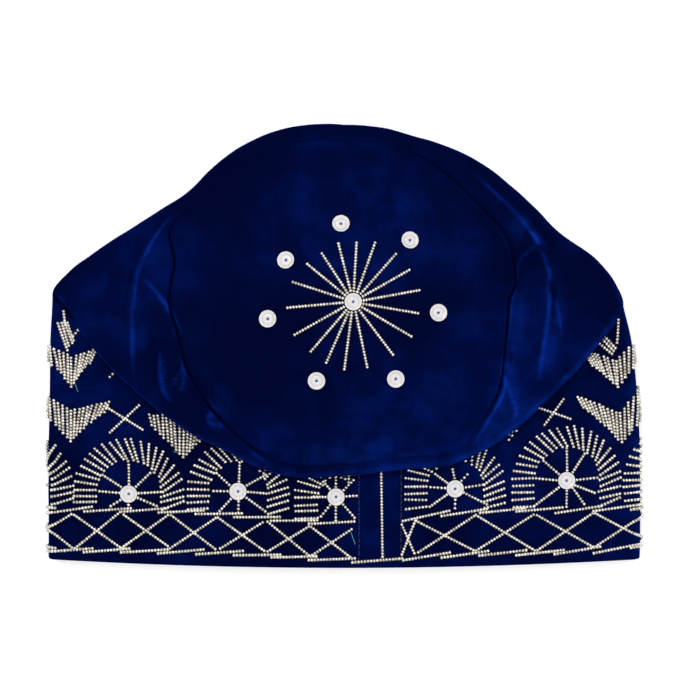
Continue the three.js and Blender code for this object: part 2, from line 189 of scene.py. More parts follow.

# Patches of painted sheen on the nap: middle, reach each way, and strength
SHEEN_PATCHES = (
    {"x": 3, "y": -52, "wide": 46, "high": 11, "light": 0.6},
    {"x": -62, "y": -32, "wide": 12, "high": 18, "light": 0.4},
    {"x": -96, "y": 8, "wide": 9, "high": 34, "light": 0.12},
    {"x": 88, "y": -2, "wide": 11, "high": 40, "light": 0.12},
    {"x": 86, "y": 60, "wide": 14, "high": 14, "light": 0.3},
    {"x": -4, "y": 101, "wide": 70, "high": 7, "light": 0.5},
    {"x": -40, "y": 20, "wide": 10, "high": 22, "light": 0.25},
    {"x": 30, "y": 66, "wide": 22, "high": 12, "light": 0.2},
    {"x": 46, "y": -24, "wide": 16, "high": 10, "light": 0.2},
)

# The beadwork's chart on the unrolled wall: along from the front's middle, up from the rim
FIELD = (5.4, 28.8)  # plain cloth beside the wall's seam
SEAM_STRING = {"along": 18.5, "from": 5.0, "to": 47.0}
BORDERS = {
    "along": (-292, -162, -150, -110, -75, -45, 5, 28, 60, 100, 150, 162, 292),
    "low": (9, 9, 5, 6.5, 7.2, 6.6, 3.9, 5.2, 6.4, 5.6, 7.3, 9, 9),
    "high": (27, 27, 24, 26.2, 26.6, 24.8, 21.5, 24.2, 27.2, 26.4, 25.9, 27, 27),
}
SHINGLE = {"step": 18.0, "length": 22.5, "rise": 1.1}
LATTICE_LEFT = (
    -284.3, -260.9, -237.5, -214.1, -190.7, -167.3, -143.9, -120.5, -97, -73.7, -50, -26.3, -6.8,
)
LATTICE_RIGHT = (31.5, 48.8, 78.5, 108.6, 135, 165, 194.7, 224.4, 254.1, 283.8)
# Spokes by wheel: bearing from the along way, and length
SPOKES = {
    3: {
        "bearing": (6, -21, -90, -145, 176, 145, 90, 45),
        "length": (15.9, 14.7, 8.5, 12.9, 14.3, 15.5, 14.3, 14.8),
    },
    4: {
        "bearing": (-2, -36, -90, -133, 180, 141, 86, 33),
        "length": (14.3, 16.3, 11.6, 13, 12, 13.5, 13.8, 15.7),
    },
    5: {
        "bearing": (3, -47, -90, -128, 180, 129, 90, 44),
        "length": (9.9, 13.7, 12.2, 12, 10.8, 9.5, 10, 12.2),
    },
    6: {
        "bearing": (7, -27, -91, -146, 174, 142, 97, 51),
        "length": (13.8, 17.6, 9.6, 15.2, 12.2, 12, 9.6, 9.5),
    },
    7: {
        "bearing": (4, -27, -53, -90, -143, 175, 139, 90, 55),
        "length": (15.2, 15.2, 14.3, 13.6, 19.4, 15.2, 15.2, 15.5, 15.2),
    },
}
EVEN_SPOKES = {
    "bearing": (2, -38, -90, -141, 178, 140, 90, 46),
    "length": (14.5, 14.5, 9.5, 14.5, 14.5, 14.8, 14.5, 14.8),
}
SPOKE_INNER = 5.0
ARCH_STEP = 3.25
ARCH_LEAN = {"angle": (-40, 0, 45, 90, 135, 180, 220), "lean": (14, 16, 21, 24, 12, 2, 4)}
CROSSES = {
    "left": {"across": -2.6, "above": 36.8, "length": 20.3, "angles": (-32.0, 46.0)},
    "right": {"across": -5.6, "above": 33.4, "length": 17.2, "angles": (-18.5, 51.5)},
}
CROSS_NEXT = 27.0
# Arrows of strings by side and level. Of the inner arm: half width and how far its low and
# high edges rise over it. Of the outer arm: how far its edges rise per millimetre.
CHEVRON_COLUMNS = ("tip", "half", "depth", "low", "high", "out_low", "out_high")
CHEVRONS = {
    "left": under_columns(
        CHEVRON_COLUMNS,
        (58.6, 20.5, 14.8, 16.4, 5.8, 0.9, 0.55),
        (85.2, 13.5, 14.5, 13.0, 5.0, 1.0, 0.45),
    ),
    "right": under_columns(
        CHEVRON_COLUMNS,
        (57.6, 23.0, 14.4, 20.0, 10.5, 1.0, 1.25),
        (85.0, 17.5, 12.5, 11.5, 7.5, 1.1, 1.0),
    ),
}
# Columns that differ: where, how far they move, and the first arrow's tip and half width
ODD_COLUMNS = (
    {"along": -132.0, "move": -1.8, "tip": 58.6, "half": 20.0},
    {"along": -78.5, "move": 0.0, "tip": 52.9, "half": 19.0},
    {"along": 81.3, "move": -1.0, "tip": 61.5, "half": 7.5},
)
# Single strings near the side folds: along, up, along, up
STRAYS = (
    (-139.8, 125.5, -137.9, 115.6),
    (-141.0, 115.2, -136.4, 103.2),
    (-139.8, 115.8, -135.4, 105.0),
    (-138.2, 116.2, -134.0, 106.4),
    (-136.8, 116.4, -132.8, 107.6),
    (-133.2, 109.8, -131.0, 112.8),
    (128.2, 106.9, 134.2, 101.4),
    (129.7, 109.1, 135.3, 102.8),
    (130.7, 111.0, 136.0, 104.3),
    (137.2, 106.8, 140.2, 117.6),
)
CHEVRON_STEP = 2.1
INNER_LEAN = 30.0
OUTER_LEAN = 11.0
SHORTEST_STRING = 3.5
STAR = {
    "bearing": (
        104.7, 87, 70.1, 48.2, 29.4, 9.6, -9.8, -30.8, -53.1, -77.7, -97.8, -113.4, -130.6, -151.1,
        -174.6, 162.2, 140.6, 123.4,
    ),
    "length": (
        28.8, 28.3, 30.1, 30.7, 30.8, 32.2, 31.7, 32.4, 31.7, 32, 32.5, 31.9, 31.5, 32.3, 31.4,
        30.2, 28.4, 27.5,
    ),
}
STAR_INNER = 5.2
# Loose thread ends: along, up, along, up
LOOSE_ENDS = (
    (2.9, 19.0, 5.4, 11.7),
    (-132.0, 86.5, -130.8, 83.0),
    (-83.5, 55.6, -80.2, 55.0),
)
STITCHES = {"along": (7.3, 27.8), "from": 3.0, "to": 48.0, "step": 3.1, "length": 2.3}

# The studio, in metres: the camera's middle over the cloth, and the lights
VIEW_MIDDLE = (0.0029, -0.002)
VIEW_HEIGHT = 0.014
LIGHTS = under_columns(
    ("name", "place", "size", "share"),
    ("key", (-0.5, 0.8, 1.5), 0.9, 1.0),
    ("fill", (0.9, -0.5, 1.3), 1.2, 0.5),
)

FINE = 40  # places on each stretch of a section


def ease(low, high, x):
    """A smooth step from 0 at low to 1 at high."""
    t = np.clip((x - low) / (high - low), 0.0, 1.0)
    return t * t * (3 - 2 * t)


def follow(table, key, column, x):
    """A smooth curve through a table's rows."""
    keys = np.asarray(table[key], float)
    values = np.asarray(table[column], float)
    last = len(keys) - 1
    after = np.minimum(np.arange(last + 1) + 1, last)
    before = np.maximum(np.arange(last + 1) - 1, 0)
    slopes = (values[after] - values[before]) / (keys[after] - keys[before])
    k = np.clip(np.searchsorted(keys, x) - 1, 0, last - 1)
    span = keys[k + 1] - keys[k]
    t = np.clip((x - keys[k]) / span, 0.0, 1.0)
    u = 1 - t
    start = (1 + 2 * t) * u * u * values[k] + t * u * u * span * slopes[k]
    return start + t * t * (3 - 2 * t) * values[k + 1] - t * t * u * span * slopes[k + 1]


def by_side(table, key, side, x):
    """The left column where side is negative, and the right one elsewhere."""
    return np.where(side < 0, follow(table, key, "left", x), follow(table, key, "right", x))


def wrap(turn):
    return (np.asarray(turn) + 180.0) % 360.0 - 180.0


def rim_y(x):
    return RIM_Y + RIM_BOW * (x / RIM_HALF_WIDTH) ** 2


def half_width(side, up):
    return by_side(SIDES, "up", side, np.minimum(up, SIDES["up"][-1])) - HALF


def levels(up):
    """Heights of the back and the front panel where both are flat."""
    lift = BEAD_LIFT * (1 - ease(BEADED["high"], BEADED["top"], up))
    return HALF + lift * ease(BEADED["hem"], BEADED["low"], up), HALF + lift + 2 * EDGE_RADIUS


def lane(turn, up):
    """How far across a section of the wall runs, and how flat the panel is there."""
    away = np.abs(turn)
    share = np.where(away > 90, 180 - away, away) / 90
    flat = half_width(turn, up) - EDGE_RADIUS
    along = share * (flat + EDGE_RADIUS * math.pi / 2)
    angle = np.maximum(0.0, along - flat) / EDGE_RADIUS
    out = np.minimum(along, flat) + EDGE_RADIUS * np.sin(angle)
    return np.sign(turn) * out, np.cos(angle)


def front_height(x, up):
    width = half_width(x, up)
    over = np.clip((np.abs(x) - width + EDGE_RADIUS) / EDGE_RADIUS, 0.0, 1.0)
    low, high = levels(up)
    bulge = MOUTH_BULGE * np.maximum(0.0, 1 - (x / width) ** 2)
    return (low + high) / 2 + np.sqrt(1 - over * over) * ((high - low) / 2 + bulge)


def back_height(flatness, up):
    low, high = levels(up)
    return (low + high) / 2 - flatness * (high - low) / 2


def reach(turn):
    turn = wrap(turn)
    return by_side(OUTLINE, "turn", turn, np.abs(turn))


def outline_point(turn):
    angle = math.radians(turn - CROWN_TILT)
    return CROWN + reach(turn) * np.array((math.sin(angle), -math.cos(angle)))


def outline(turn):
    """Where a section meets the upper layer's edge, and the way inwards from there."""
    ahead = outline_point(turn + 1.5) - outline_point(turn - 1.5)
    ahead /= np.linalg.norm(ahead)
    inward = np.array((-ahead[1], ahead[0]))
    return outline_point(turn) + inward * HALF, inward


def stretch(plan, z):
    return np.column_stack((plan, np.broadcast_to(z, len(plan))))


def arc(start, way, across, z):
    """A stretch that leaves a plan place along one way."""
    return stretch(start + np.outer(across, way), z)


def front_path(turn):
    """Up the front panel, over the tuck, back under the crown and over the lip."""
    t = np.linspace(0, 1, FINE + 1)
    point, inward = outline(turn)
    overlap = CREASE_Y - point[1]
    swing = math.pi * float(ease(*TUCK_OPENS, overlap))
    crease = np.array((float(lane(turn, CREASE_Y - rim_y(point[0]))[0]), CREASE_Y)) - point
    size = np.linalg.norm(crease)
    depth = max(0.0, 1 - TUCK_OPENS[1] / max(overlap, 0.1)) * size
    inside = inward + (crease / size - inward) * float(ease(4, 14, overlap))
    inside /= np.linalg.norm(inside)
    set_in = LIP_RADIUS * (1 - math.sin(swing)) if swing > math.pi / 2 else 0.0
    lip_start = point + inward * set_in
    tuck_end = lip_start - inside * depth * math.cos(swing)
    tuck_start = tuck_end - inside * TUCK_RADIUS * math.sin(swing)

    up_end = tuck_start[1] - rim_y(tuck_start[0])
    up = up_end * t
    x = lane(turn, up)[0]
    plan = np.column_stack((x, rim_y(x) + up))
    plan = plan + np.outer(t * t, tuck_start - plan[-1])
    panel = stretch(plan, front_height(plan[:, 0], up))
    angle = swing * t
    height = panel[-1, 2] + TUCK_RADIUS * (1 - np.cos(angle))
    tuck = arc(tuck_start, inside, TUCK_RADIUS * np.sin(angle), height)
    plan = tuck_end + np.outer(t, lip_start - tuck_end)
    level = front_height(plan[:, 0], plan[:, 1] - rim_y(plan[:, 0]))
    under = stretch(plan, tuck[-1, 2] + level - level[0])
    angle = swing * (1 - t)
    across = LIP_RADIUS * (math.sin(swing) - np.sin(angle))
    lip = arc(lip_start, inward, across, under[-1, 2] + LIP_RADIUS * (np.cos(angle) - math.cos(swing)))
    flatness = float(lane(turn, 0.0)[1])
    begin = math.asin(min(1.0, flatness))
    angle_up = begin + (math.pi / 2 - begin) * t
    across = EDGE_RADIUS * (math.cos(begin) - np.cos(angle_up))
    tip = arc(lip[-1, :2], inward, across, lip[-1, 2] + EDGE_RADIUS * (np.sin(angle_up) - flatness))
    return panel, tuck, under, lip, tip


def back_path(turn):
    """Up the back panel and over the rolled edge."""
    t = np.linspace(0, 1, FINE + 1)
    point, inward = outline(turn)
    rim_x, flatness = (float(v) for v in lane(turn, 0.0))
    up = (APEX_UP + APEX_SLANT * rim_x / RIM_HALF_WIDTH) * t
    radius = EDGE_RADIUS + BACK_ROLL * float(ease(90, 150, abs(turn))) / 2
    begin = -math.asin(min(1.0, flatness))
    low = HALF + radius * (1 - flatness)
    roll_start = point + inward * radius * (1 - math.cos(begin))
    x = lane(turn, up)[0]
    panel = stretch(np.column_stack((x, rim_y(x) + up)), back_height(flatness, up))
    plan = panel[-1, :2] + np.outer(t, roll_start - panel[-1, :2])
    rest = stretch(plan, panel[-1, 2] + (low - panel[-1, 2]) * t)
    cut = int(0.3 * FINE)
    angle = begin + (math.pi / 2 - begin) * t
    roll = arc(point, inward, radius * (1 - np.cos(angle)), HALF + radius * (1 + np.sin(angle)))
    return panel, rest[: cut + 1], rest[cut:], roll, roll[-1:]


def layers(turn):
    return front_path(turn) if abs(turn) <= 90 else back_path(turn)


def even_edge():
    """The upper layer's edge height by whole degrees, evened out over its neighbours."""
    turns = np.arange(-180, 180)
    heights = np.array([layers(float(t))[4][-1, 2] for t in turns])
    window = np.arange(-EVEN_OVER, EVEN_OVER + 1)
    even = heights[(turns[:, None] + 180 + window) % 360].mean(axis=1)
    return {"turn": np.arange(-180, 181), "z": np.append(even, even[0])}


EVEN_EDGE = even_edge()


def crest_line(fold):
    """Places along a fold's crest, and the way it runs there."""
    a, b, c = (np.array(p, float) for p in fold["line"])
    bend = 2 * b - (a + c) / 2
    t = np.linspace(0, 1, 49)[:, None]
    line = (1 - t) ** 2 * a + 2 * t * (1 - t) * bend + t * t * c
    return line, 2 * (1 - t) * (bend - a) + 2 * t * (c - bend), t[:, 0]


def nearest(x, y, line, way):
    """The line's step nearest to each place, how far and which way off it, and how far to its left."""
    dx = np.asarray(x)[..., None] - line[:, 0]
    dy = np.asarray(y)[..., None] - line[:, 1]
    away = np.hypot(dx, dy)
    k = away.argmin(axis=-1)
    near, px, py = (np.take_along_axis(v, k[..., None], -1)[..., 0] for v in (away, dx, dy))
    return k, near, px, py, way[k, 0] * py - way[k, 1] * px


def fold_rise(x, y):
    """How far the folds lift the cloth."""
    rise = np.zeros(np.shape(x))
    for fold in FOLDS:
        line, way, t = crest_line(fold)
        k, near, _, _, left = nearest(x, y, line, way)
        flank = np.where(left > 0, fold["left"], fold["right"])
        fade = 1 - (2 * t[k] - 1) ** 4
        rise += fold["rise"] * np.exp(-((near / flank) ** 2)) * fade
    return rise


def crease_field(x, y):
    """Rise of the fine creases with their painted highlights and painted shade, and the painted sheen of
    patches.
    """
    rise = np.zeros(np.shape(x))
    glint = np.zeros(np.shape(x))
    t = np.linspace(0, 1, CREASE_STEPS)
    for crease in CREASES:
        knots = np.array(crease["line"], float)
        steps = np.linalg.norm(np.diff(knots, axis=0), axis=1)
        run = np.concatenate(((0.0,), np.cumsum(steps))) / steps.sum()
        line = np.column_stack([follow({"t": run, "v": knots[:, k]}, "t", "v", t) for k in (0, 1)])
        way = np.gradient(line, axis=0)
        k, near, px, py, left = nearest(x, y, line, way)
        flank = np.where(left > 0, crease["left"], crease["right"])
        size = np.linalg.norm(way, axis=1)[k]
        aside = np.abs(left) / size
        beyond = np.maximum(np.sqrt(np.maximum(near**2 - aside**2, 0.0)) - size, 0.0)
        near = np.hypot(aside, beyond)
        run_at = t[k] + (way[k, 0] * px + way[k, 1] * py) / size**2 * (t[1] - t[0])
        fade = np.clip(1 - (2 * run_at - 1) ** 4, 0.0, 1.0)
        slope = np.exp(-((near / flank) ** 2))
        rise += crease["rise"] * slope * fade
        # Painted highlight along each crease's crest and, fainter, on its flanks; painted shade where the
        # crease's glint is below nought
        line_light = np.exp(-((near / CREST_WIDTH) ** 2)) + FLANK_LIGHT * slope
        glint += crease["glint"] * np.minimum(line_light, 1.0) * fade
    # Painted sheen in soft patches
    for patch in SHEEN_PATCHES:
        spot = ((x - patch["x"]) / patch["wide"]) ** 2 + ((y - patch["y"]) / patch["high"]) ** 2
        glint += 0.5 * patch["light"] * np.exp(-spot)
    return rise, np.clip(glint, -1.0, 1.0)


def crown_height(x, y):
    """Height of the upper layer over the plan, to the middle of the cloth."""
    dx, dy = x - CROWN[0], y - CROWN[1]
    turn = wrap(np.degrees(np.arctan2(dx, -dy)) + CROWN_TILT)
    share = np.minimum(1.0, np.hypot(dx, dy) / (reach(turn) - HALF - LIP_RADIUS))
    edge = follow(EVEN_EDGE, "turn", "z", turn)
    folds = fold_rise(x, y) * (1 - ease(0.84, 0.98, share))
    return CROWN_HEIGHT + (edge - CROWN_HEIGHT) * ease(0, 1, share) + folds


class Section:
    """One section of the cap, from the rim to the crown's middle."""

    def __init__(self, turn):
        parts = layers(turn)
        start = parts[4][-1]
        t = np.linspace(0, 1, 4 * FINE + 1)
        plan = start[:2] + np.outer(t, CROWN - start[:2])
        z = crown_height(plan[:, 0], plan[:, 1])
        top = stretch(plan, z + (start[2] - z[0]) * (1 - ease(0, 0.2, t)))
        self.places = np.concatenate((*parts, top))
        steps = np.linalg.norm(np.diff(self.places, axis=0), axis=1)
        self.length = np.concatenate(((0.0,), np.cumsum(steps)))
        ends = np.cumsum([len(p) for p in parts]) - 1
        self.marks = [self.length[ends[k]] for k in (0, 1, 2, 4)]
        out = np.linalg.norm(top[:, :2] - CROWN, axis=1)
        radius = float(follow(SEAM, "turn", "radius", turn))
        wanted = np.interp(-radius, -out, self.length[-len(out) :])
        least = self.marks[3] + SEAM_INSET
        self.seam = (wanted + least + math.hypot(wanted - least, 4)) / 2

    def at(self, length):
        return np.column_stack([np.interp(length, self.length, self.places[:, k]) for k in range(3)])

    def stations(self, stops, counts):
        """Places and ways of the cloth at evenly spread lengths between stops."""
        spread = [np.array((stops[0],))]
        for k, count in enumerate(counts):
            spread.append(np.linspace(stops[k], stops[k + 1], count + 1)[1:])
        length = np.concatenate(spread)
        return self.at(length), self.at(length + 0.5) - self.at(length - 0.5), length


def main_turns(around):
    """Section turns, closer together at the side folds."""
    even = 2 * np.pi * np.arange(around) / around
    return wrap(np.degrees(even + 0.33 * np.sin(2 * even)))


# Materials


def srgb(text):
    """A colour's linear value from its sRGB hex."""
    parts = [int(text[k : k + 2], 16) / 255 for k in (1, 3, 5)]
    return tuple(c / 12.92 if c <= 0.04045 else ((c + 0.055) / 1.055) ** 2.4 for c in parts) + (1.0,)


def add(tree, kind, links=None, **values):
    """Adds a node, sets its properties and inputs, and links its inputs."""
    node = tree.nodes.new(kind)
    for name, value in values.items():
        if name in node.inputs:
            node.inputs[name].default_value = value
        else:
            setattr(node, name, value)
    for name, socket in (links or {}).items():
        tree.links.new(socket, node.inputs[name])
    return node


def per_metre(feature_mm):
    """Noise scale for features of a size."""
    return 1000.0 / feature_mm


def new_material(name):
    material = bpy.data.materials.new(name)
    material.use_nodes = True
    tree = material.node_tree
    tree.nodes.clear()
    return material, tree


def mix_colour(tree, factor, first, second):
    """A colour mix; a colour is a value or a socket."""
    node = add(tree, "ShaderNodeMix", data_type="RGBA")
    for socket, value in zip((node.inputs[0], node.inputs[6], node.inputs[7]), (factor, first, second)):
        if hasattr(value, "node"):
            tree.links.new(value, socket)
        else:
            socket.default_value = value
    return node.outputs[2]


def calculate(tree, operation, first, second=None):
    """A number worked out from a socket and a socket or value."""
    node = add(tree, "ShaderNodeMath", {0: first}, operation=operation)
    if hasattr(second, "node"):
        tree.links.new(second, node.inputs[1])
    elif second is not None:
        node.inputs[1].default_value = second
    return node.outputs[0]


def noise_at(tree, feature_mm, detail, roughness=0.5):
    """Cloudy noise with features of a size, on the piece's own places."""
    place = add(tree, "ShaderNodeTexCoord").outputs["Object"]
    values = {"Scale": per_metre(feature_mm), "Detail": detail, "Roughness": roughness}
    return add(tree, "ShaderNodeTexNoise", {"Vector": place}, **values).outputs["Fac"]


def attribute(tree, name):
    return add(tree, "ShaderNodeAttribute", attribute_name=name).outputs["Fac"]


def surface(tree, links, **values):
    """A principled surface as the material's shader."""
    shader = add(tree, "ShaderNodeBsdfPrincipled", links, **values)
    add(tree, "ShaderNodeOutputMaterial", {"Surface": shader.outputs[0]})


def span(tree, value, low, high, to_low=0.0, to_high=1.0):
    """A value carried from one range to another, smoothly."""
    node = add(tree, "ShaderNodeMapRange", {"Value": value}, interpolation_type="SMOOTHSTEP")
    node.inputs["From Min"].default_value = low
    node.inputs["From Max"].default_value = high
    node.inputs["To Min"].default_value = to_low
    node.inputs["To Max"].default_value = to_high
    return node.outputs[0]


def velvet_material():
    """Dark blue cotton velvet: brushed nap in patches, painted highlights and painted sheen where the glint
    attribute is above nought, painted shade where it is below, fine pile.
    """
    material, tree = new_material("blue_velvet")
    strokes = noise_at(tree, 12, 4.0, 0.6)
    glint = attribute(tree, "glint")
    nap = span(tree, noise_at(tree, 55, 2.5), 0.38, 0.72)
    deep = mix_colour(tree, nap, srgb("#010629"), srgb("#010A38"))
    worn = calculate(tree, "MULTIPLY", nap, span(tree, strokes, 0.35, 0.75))
    lit = mix_colour(tree, worn, deep, srgb("#02124F"))
    # Painted highlight where the glint attribute is above nought, broken up by streaks
    shine = calculate(tree, "MULTIPLY", glint, span(tree, strokes, 0.3, 0.7, 0.45, 1.0))
    highlighted = mix_colour(tree, span(tree, shine, 0.0, 1.0, 0.0, 0.95), lit, srgb("#062A8C"))
    # Painted shade, near black, where the glint attribute is below nought
    colour = mix_colour(tree, span(tree, glint, -0.15, -0.9, 0.0, 0.9), highlighted, srgb("#00020F"))
    pile = add(tree, "ShaderNodeBump", {"Height": noise_at(tree, 0.7, 2.0)}, Strength=0.5, Distance=0.0004)
    nap_values = {
        "Roughness": 1.0,
        "Specular IOR Level": 0.0,
        "Sheen Weight": 0.4,
        "Sheen Roughness": 0.28,
        "Sheen Tint": srgb("#0A48E0"),
    }
    surface(tree, {"Base Color": colour, "Normal": pile.outputs[0]}, **nap_values)
    return material


def bead_material():
    """Silver-lined glass seed beads: bright metal under a clear coat, a little warm."""
    material, tree = new_material("silver_seed_bead")
    tone = attribute(tree, "tone")
    haze = span(tree, noise_at(tree, 0.8, 1.0), 0.45, 0.8)
    base = mix_colour(tree, tone, srgb("#ABA69E"), srgb("#EAE5DC"))
    colour = mix_colour(tree, haze, base, srgb("#F4F1EA"))
    rough = span(tree, tone, 0.0, 1.0, 0.26, 0.12)
    glass = {"Metallic": 0.95, "Coat Weight": 0.35, "Coat Roughness": 0.05}
    surface(tree, {"Base Color": colour, "Roughness": rough}, **glass)
    return material


def sequin_material():
    """White pearly film with a faint ring pressed into it, darkened with painted shade, and pink and green
    flecks.
    """
    material, tree = new_material("pearl_sequin")
    radius = attribute(tree, "radius_mm")
    place = add(tree, "ShaderNodeTexCoord").outputs["Object"]
    flecks = add(tree, "ShaderNodeTexVoronoi", {"Vector": place}, Scale=per_metre(1.1))
    hue = span(tree, noise_at(tree, 3.0, 2.0), 0.42, 0.62)
    tint = mix_colour(tree, hue, srgb("#F7C9DC"), srgb("#C6E6EC"))
    speck = span(tree, flecks.outputs["Distance"], 0.36, 0.12, 0.0, 0.55)
    film = mix_colour(tree, speck, srgb("#D2D2D2"), tint)
    # Painted shade in the pressed ring's groove
    ring_in = span(tree, radius, 2.35, 2.6)
    ring_out = span(tree, radius, 2.6, 2.9, 1.0, 0.0)
    groove_shade = calculate(tree, "MULTIPLY", calculate(tree, "MULTIPLY", ring_in, ring_out), 0.5)
    colour = mix_colour(tree, groove_shade, film, srgb("#85868C"))
    pearl = {
        "Roughness": 0.22,
        "Coat Weight": 0.6,
        "Coat Roughness": 0.06,
        "Thin Film Thickness": 260.0,
        "Thin Film IOR": 1.4,
    }
    surface(tree, {"Base Color": colour}, **pearl)
    return material


def thread_material(name, dark, light):
    """Spun thread, light and dark along its twist."""
    material, tree = new_material(name)
    twist = span(tree, noise_at(tree, 0.5, 2.0), 0.35, 0.65)
    colour = mix_colour(tree, twist, srgb(dark), srgb(light))
    spun = {"Roughness": 0.7, "Sheen Weight": 0.3, "Sheen Roughness": 0.4}
    surface(tree, {"Base Color": colour}, **spun)
    return material


def floor_material():
    """Pale even floor that glows a little."""
    material, tree = new_material("pale_floor")
    pale = {
        "Roughness": 0.9,
        "Specular IOR Level": 0.1,
        "Base Color": srgb("#F4F4F4"),
        "Emission Color": (1, 1, 1, 1),
        "Emission Strength": 0.3,
    }
    surface(tree, {}, **pale)
    return material


# Pieces


def show(name, mesh, material):
    """A new piece of the object, riding on its only body."""
    piece = bpy.data.objects.new(name, mesh)
    bpy.context.scene.collection.objects.link(piece)
    if material.name not in [m.name for m in mesh.materials if m]:
        mesh.materials.append(material)
    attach(piece, "root")
    return piece


def fetch(name, make, *values):
    """A material by name, made at its first use."""
    return bpy.data.materials.get(name) or make(*values)


def smooth_mesh(name, verts, faces):
    mesh = bpy.data.meshes.new(name)
    mesh.from_pydata([tuple(v) for v in verts], [], faces)
    mesh.polygons.foreach_set("use_smooth", np.ones(len(mesh.polygons), bool))
    mesh.update()
    return mesh


def grid_quads(first, around, rows, flip):
    """Quads of a grid that closes round, as index rows."""
    i, j = np.meshgrid(np.arange(around), np.arange(rows - 1), indexing="ij")
    k = (i + 1) % around
    corners = [first + a * rows + b for a, b in ((i, j), (k, j), (k, j + 1), (i, j + 1))]
    quads = np.stack([c.ravel() for c in corners], axis=1)
    return quads[:, ::-1] if flip else quads


def normals(places, ways):
    across = np.roll(places, -1, axis=0) - np.roll(places, 1, axis=0)
    facing = np.cross(across, ways)
    return facing / np.linalg.norm(facing, axis=-1, keepdims=True)


def relief(places, amount):
    """Slight unevenness of soft cloth."""
    flat = places.reshape(-1, 3)
    wide = [noise.noise(Vector(p) / 26.0) for p in flat]
    small = [noise.noise(Vector(p) / 9.0 + Vector((7.0, 3.0, 1.0))) for p in flat]
    return (amount * (np.array(wide) + 0.5 * np.array(small))).reshape(places.shape[:2])


def cloth_mesh(name, places, ways, outside, closed, glint):
    """A closed sheet of cloth round a grid of places; outside is added relief. Its outer face carries the
    glint attribute of painted light and shade, with painted light and shade by slope added.
    """
    around, rows = places.shape[:2]
    facing = normals(places, ways)
    outer = places + facing * (HALF + outside)[..., None]
    outer[..., 2] = np.maximum(outer[..., 2], 0.02)
    # Painted light and shade by slope: lighter on slopes that face right and front, darker on those that
    # face left and back, and a painted sheen where the cloth turns steep
    slope = normals(outer, np.gradient(outer, axis=1))
    level = np.clip(slope[..., 2], 0.0, 1.0)
    facing_light = np.clip(slope[..., 0] * 0.8 - slope[..., 1] * 0.45, -0.4, 0.4)
    glint = glint + SLOPE_LIGHT * facing_light * level**2 + 0.8 * (1 - level) ** 2
    inner = places - facing * HALF
    hem = []
    along = ways / np.linalg.norm(ways, axis=-1, keepdims=True)
    for angle in (45, 90, 135):
        turn = math.radians(angle)
        out = facing[:, 0] * HALF * math.cos(turn)
        hem.append(places[:, 0] + out - along[:, 0] * HALF * math.sin(turn))
    chain = np.concatenate((inner[:, ::-1], np.stack(hem[::-1], axis=1), outer), axis=1)
    length = chain.shape[1]
    faces = grid_quads(0, around, length, False).tolist()
    ends = [(i * length, (i + 1) % around * length) for i in range(around)]
    last = length - 1
    if closed:
        faces += [[i + last, k + last, around * length] for i, k in ends]
        faces += [[i, around * length + 1, k] for i, k in ends]
        top = outer[:, -1].mean(axis=0)
        verts = np.concatenate((chain.reshape(-1, 3), (top, top - (0, 0, 2 * HALF))))
    else:
        faces += [[i + last, k + last, k, i] for i, k in ends]
        verts = chain.reshape(-1, 3)
    mesh = smooth_mesh(name, verts * MM, faces)
    marks = np.zeros((around, length))
    marks[:, length - rows :] = glint
    values = np.zeros(len(verts))
    values[: around * length] = marks.ravel()
    mesh.attributes.new("glint", "FLOAT", "POINT").data.foreach_set("value", values)
    return mesh


def tip_edge(places):
    """Painted highlight and painted shadow beside the upper layer's edge at the left tip."""
    start, end = (np.array(p) for p in TIP_EDGE)
    size = np.linalg.norm(end - start)
    way = (end - start) / size
    dx, dy = places[..., 0] - start[0], places[..., 1] - start[1]
    run = (dx * way[0] + dy * way[1]) / size
    aside = dy * way[0] - dx * way[1]
    near_tip = (places[..., 2] > 4) * ease(-0.05, 0.05, run) * (1 - ease(0.9, 1.1, run))
    # Painted highlight on the upper layer's side of the edge, painted shadow on the cloth below it
    light = 0.4 * np.exp(-(((aside - 0.9) / 0.8) ** 2))
    dark = 0.8 * np.exp(-(((aside + 0.9) / 0.9) ** 2))
    return near_tip * (light - dark)


def dress(places, gap, top, settings):
    """Relief outside the cloth, and its painted light and shade: painted highlights on creases and along
    the upper layer's front edge, painted shade in the seam, and a painted shadow on the panel under that
    edge; top is 1 on the upper layer.
    """
    rise, glint = crease_field(places[..., 0], places[..., 1])
    dx, dy = places[..., 0] - CROWN[0], places[..., 1] - CROWN[1]
    turn = wrap(np.degrees(np.arctan2(dx, -dy)) + CROWN_TILT)
    shown = ease(48, 62, turn) * (1 - ease(150, 168, turn))
    shown = shown + ease(-125, -108, turn) * (1 - ease(-30, -18, turn))
    outside = relief(places, settings.unevenness / MM) + rise * top
    outside = outside - settings.seam_depth / MM * (0.25 + shown) * np.exp(-((gap / 1.0) ** 2))
    # Painted shade along the seam's groove, strongest where the seam shows
    line = (0.12 + 0.88 * shown) * np.exp(-((gap / 0.6) ** 2))
    out = np.hypot(dx, dy) - reach(turn)
    # Painted highlight along the upper layer's front edge
    rim = ease(90, 76, np.abs(turn)) * (out < 0.3) * 0.28 * np.exp(-((out / 4.0) ** 2))
    under = (1 - top) * (out > 0.3) * (np.abs(turn) < 80)
    shadow = under * 0.6 * np.exp(-(((out - 0.3) / 1.8) ** 2))
    glint = glint * top * (1 - line) - line + rim - shadow + tip_edge(places)
    return np.clip(outside, -1.2, 2.0), glint


def evened(height, turns):
    """Heights evened over neighbouring sections where the two side folds end."""
    even = sum(np.roll(height, k, axis=0) for k in range(-7, 8)) / 15
    share = np.exp(-(((np.abs(turns) - 90) / 5.0) ** 2))[:, None]
    inside = ease(0, 6, np.arange(height.shape[1]))
    return height + (even - height) * share * inside


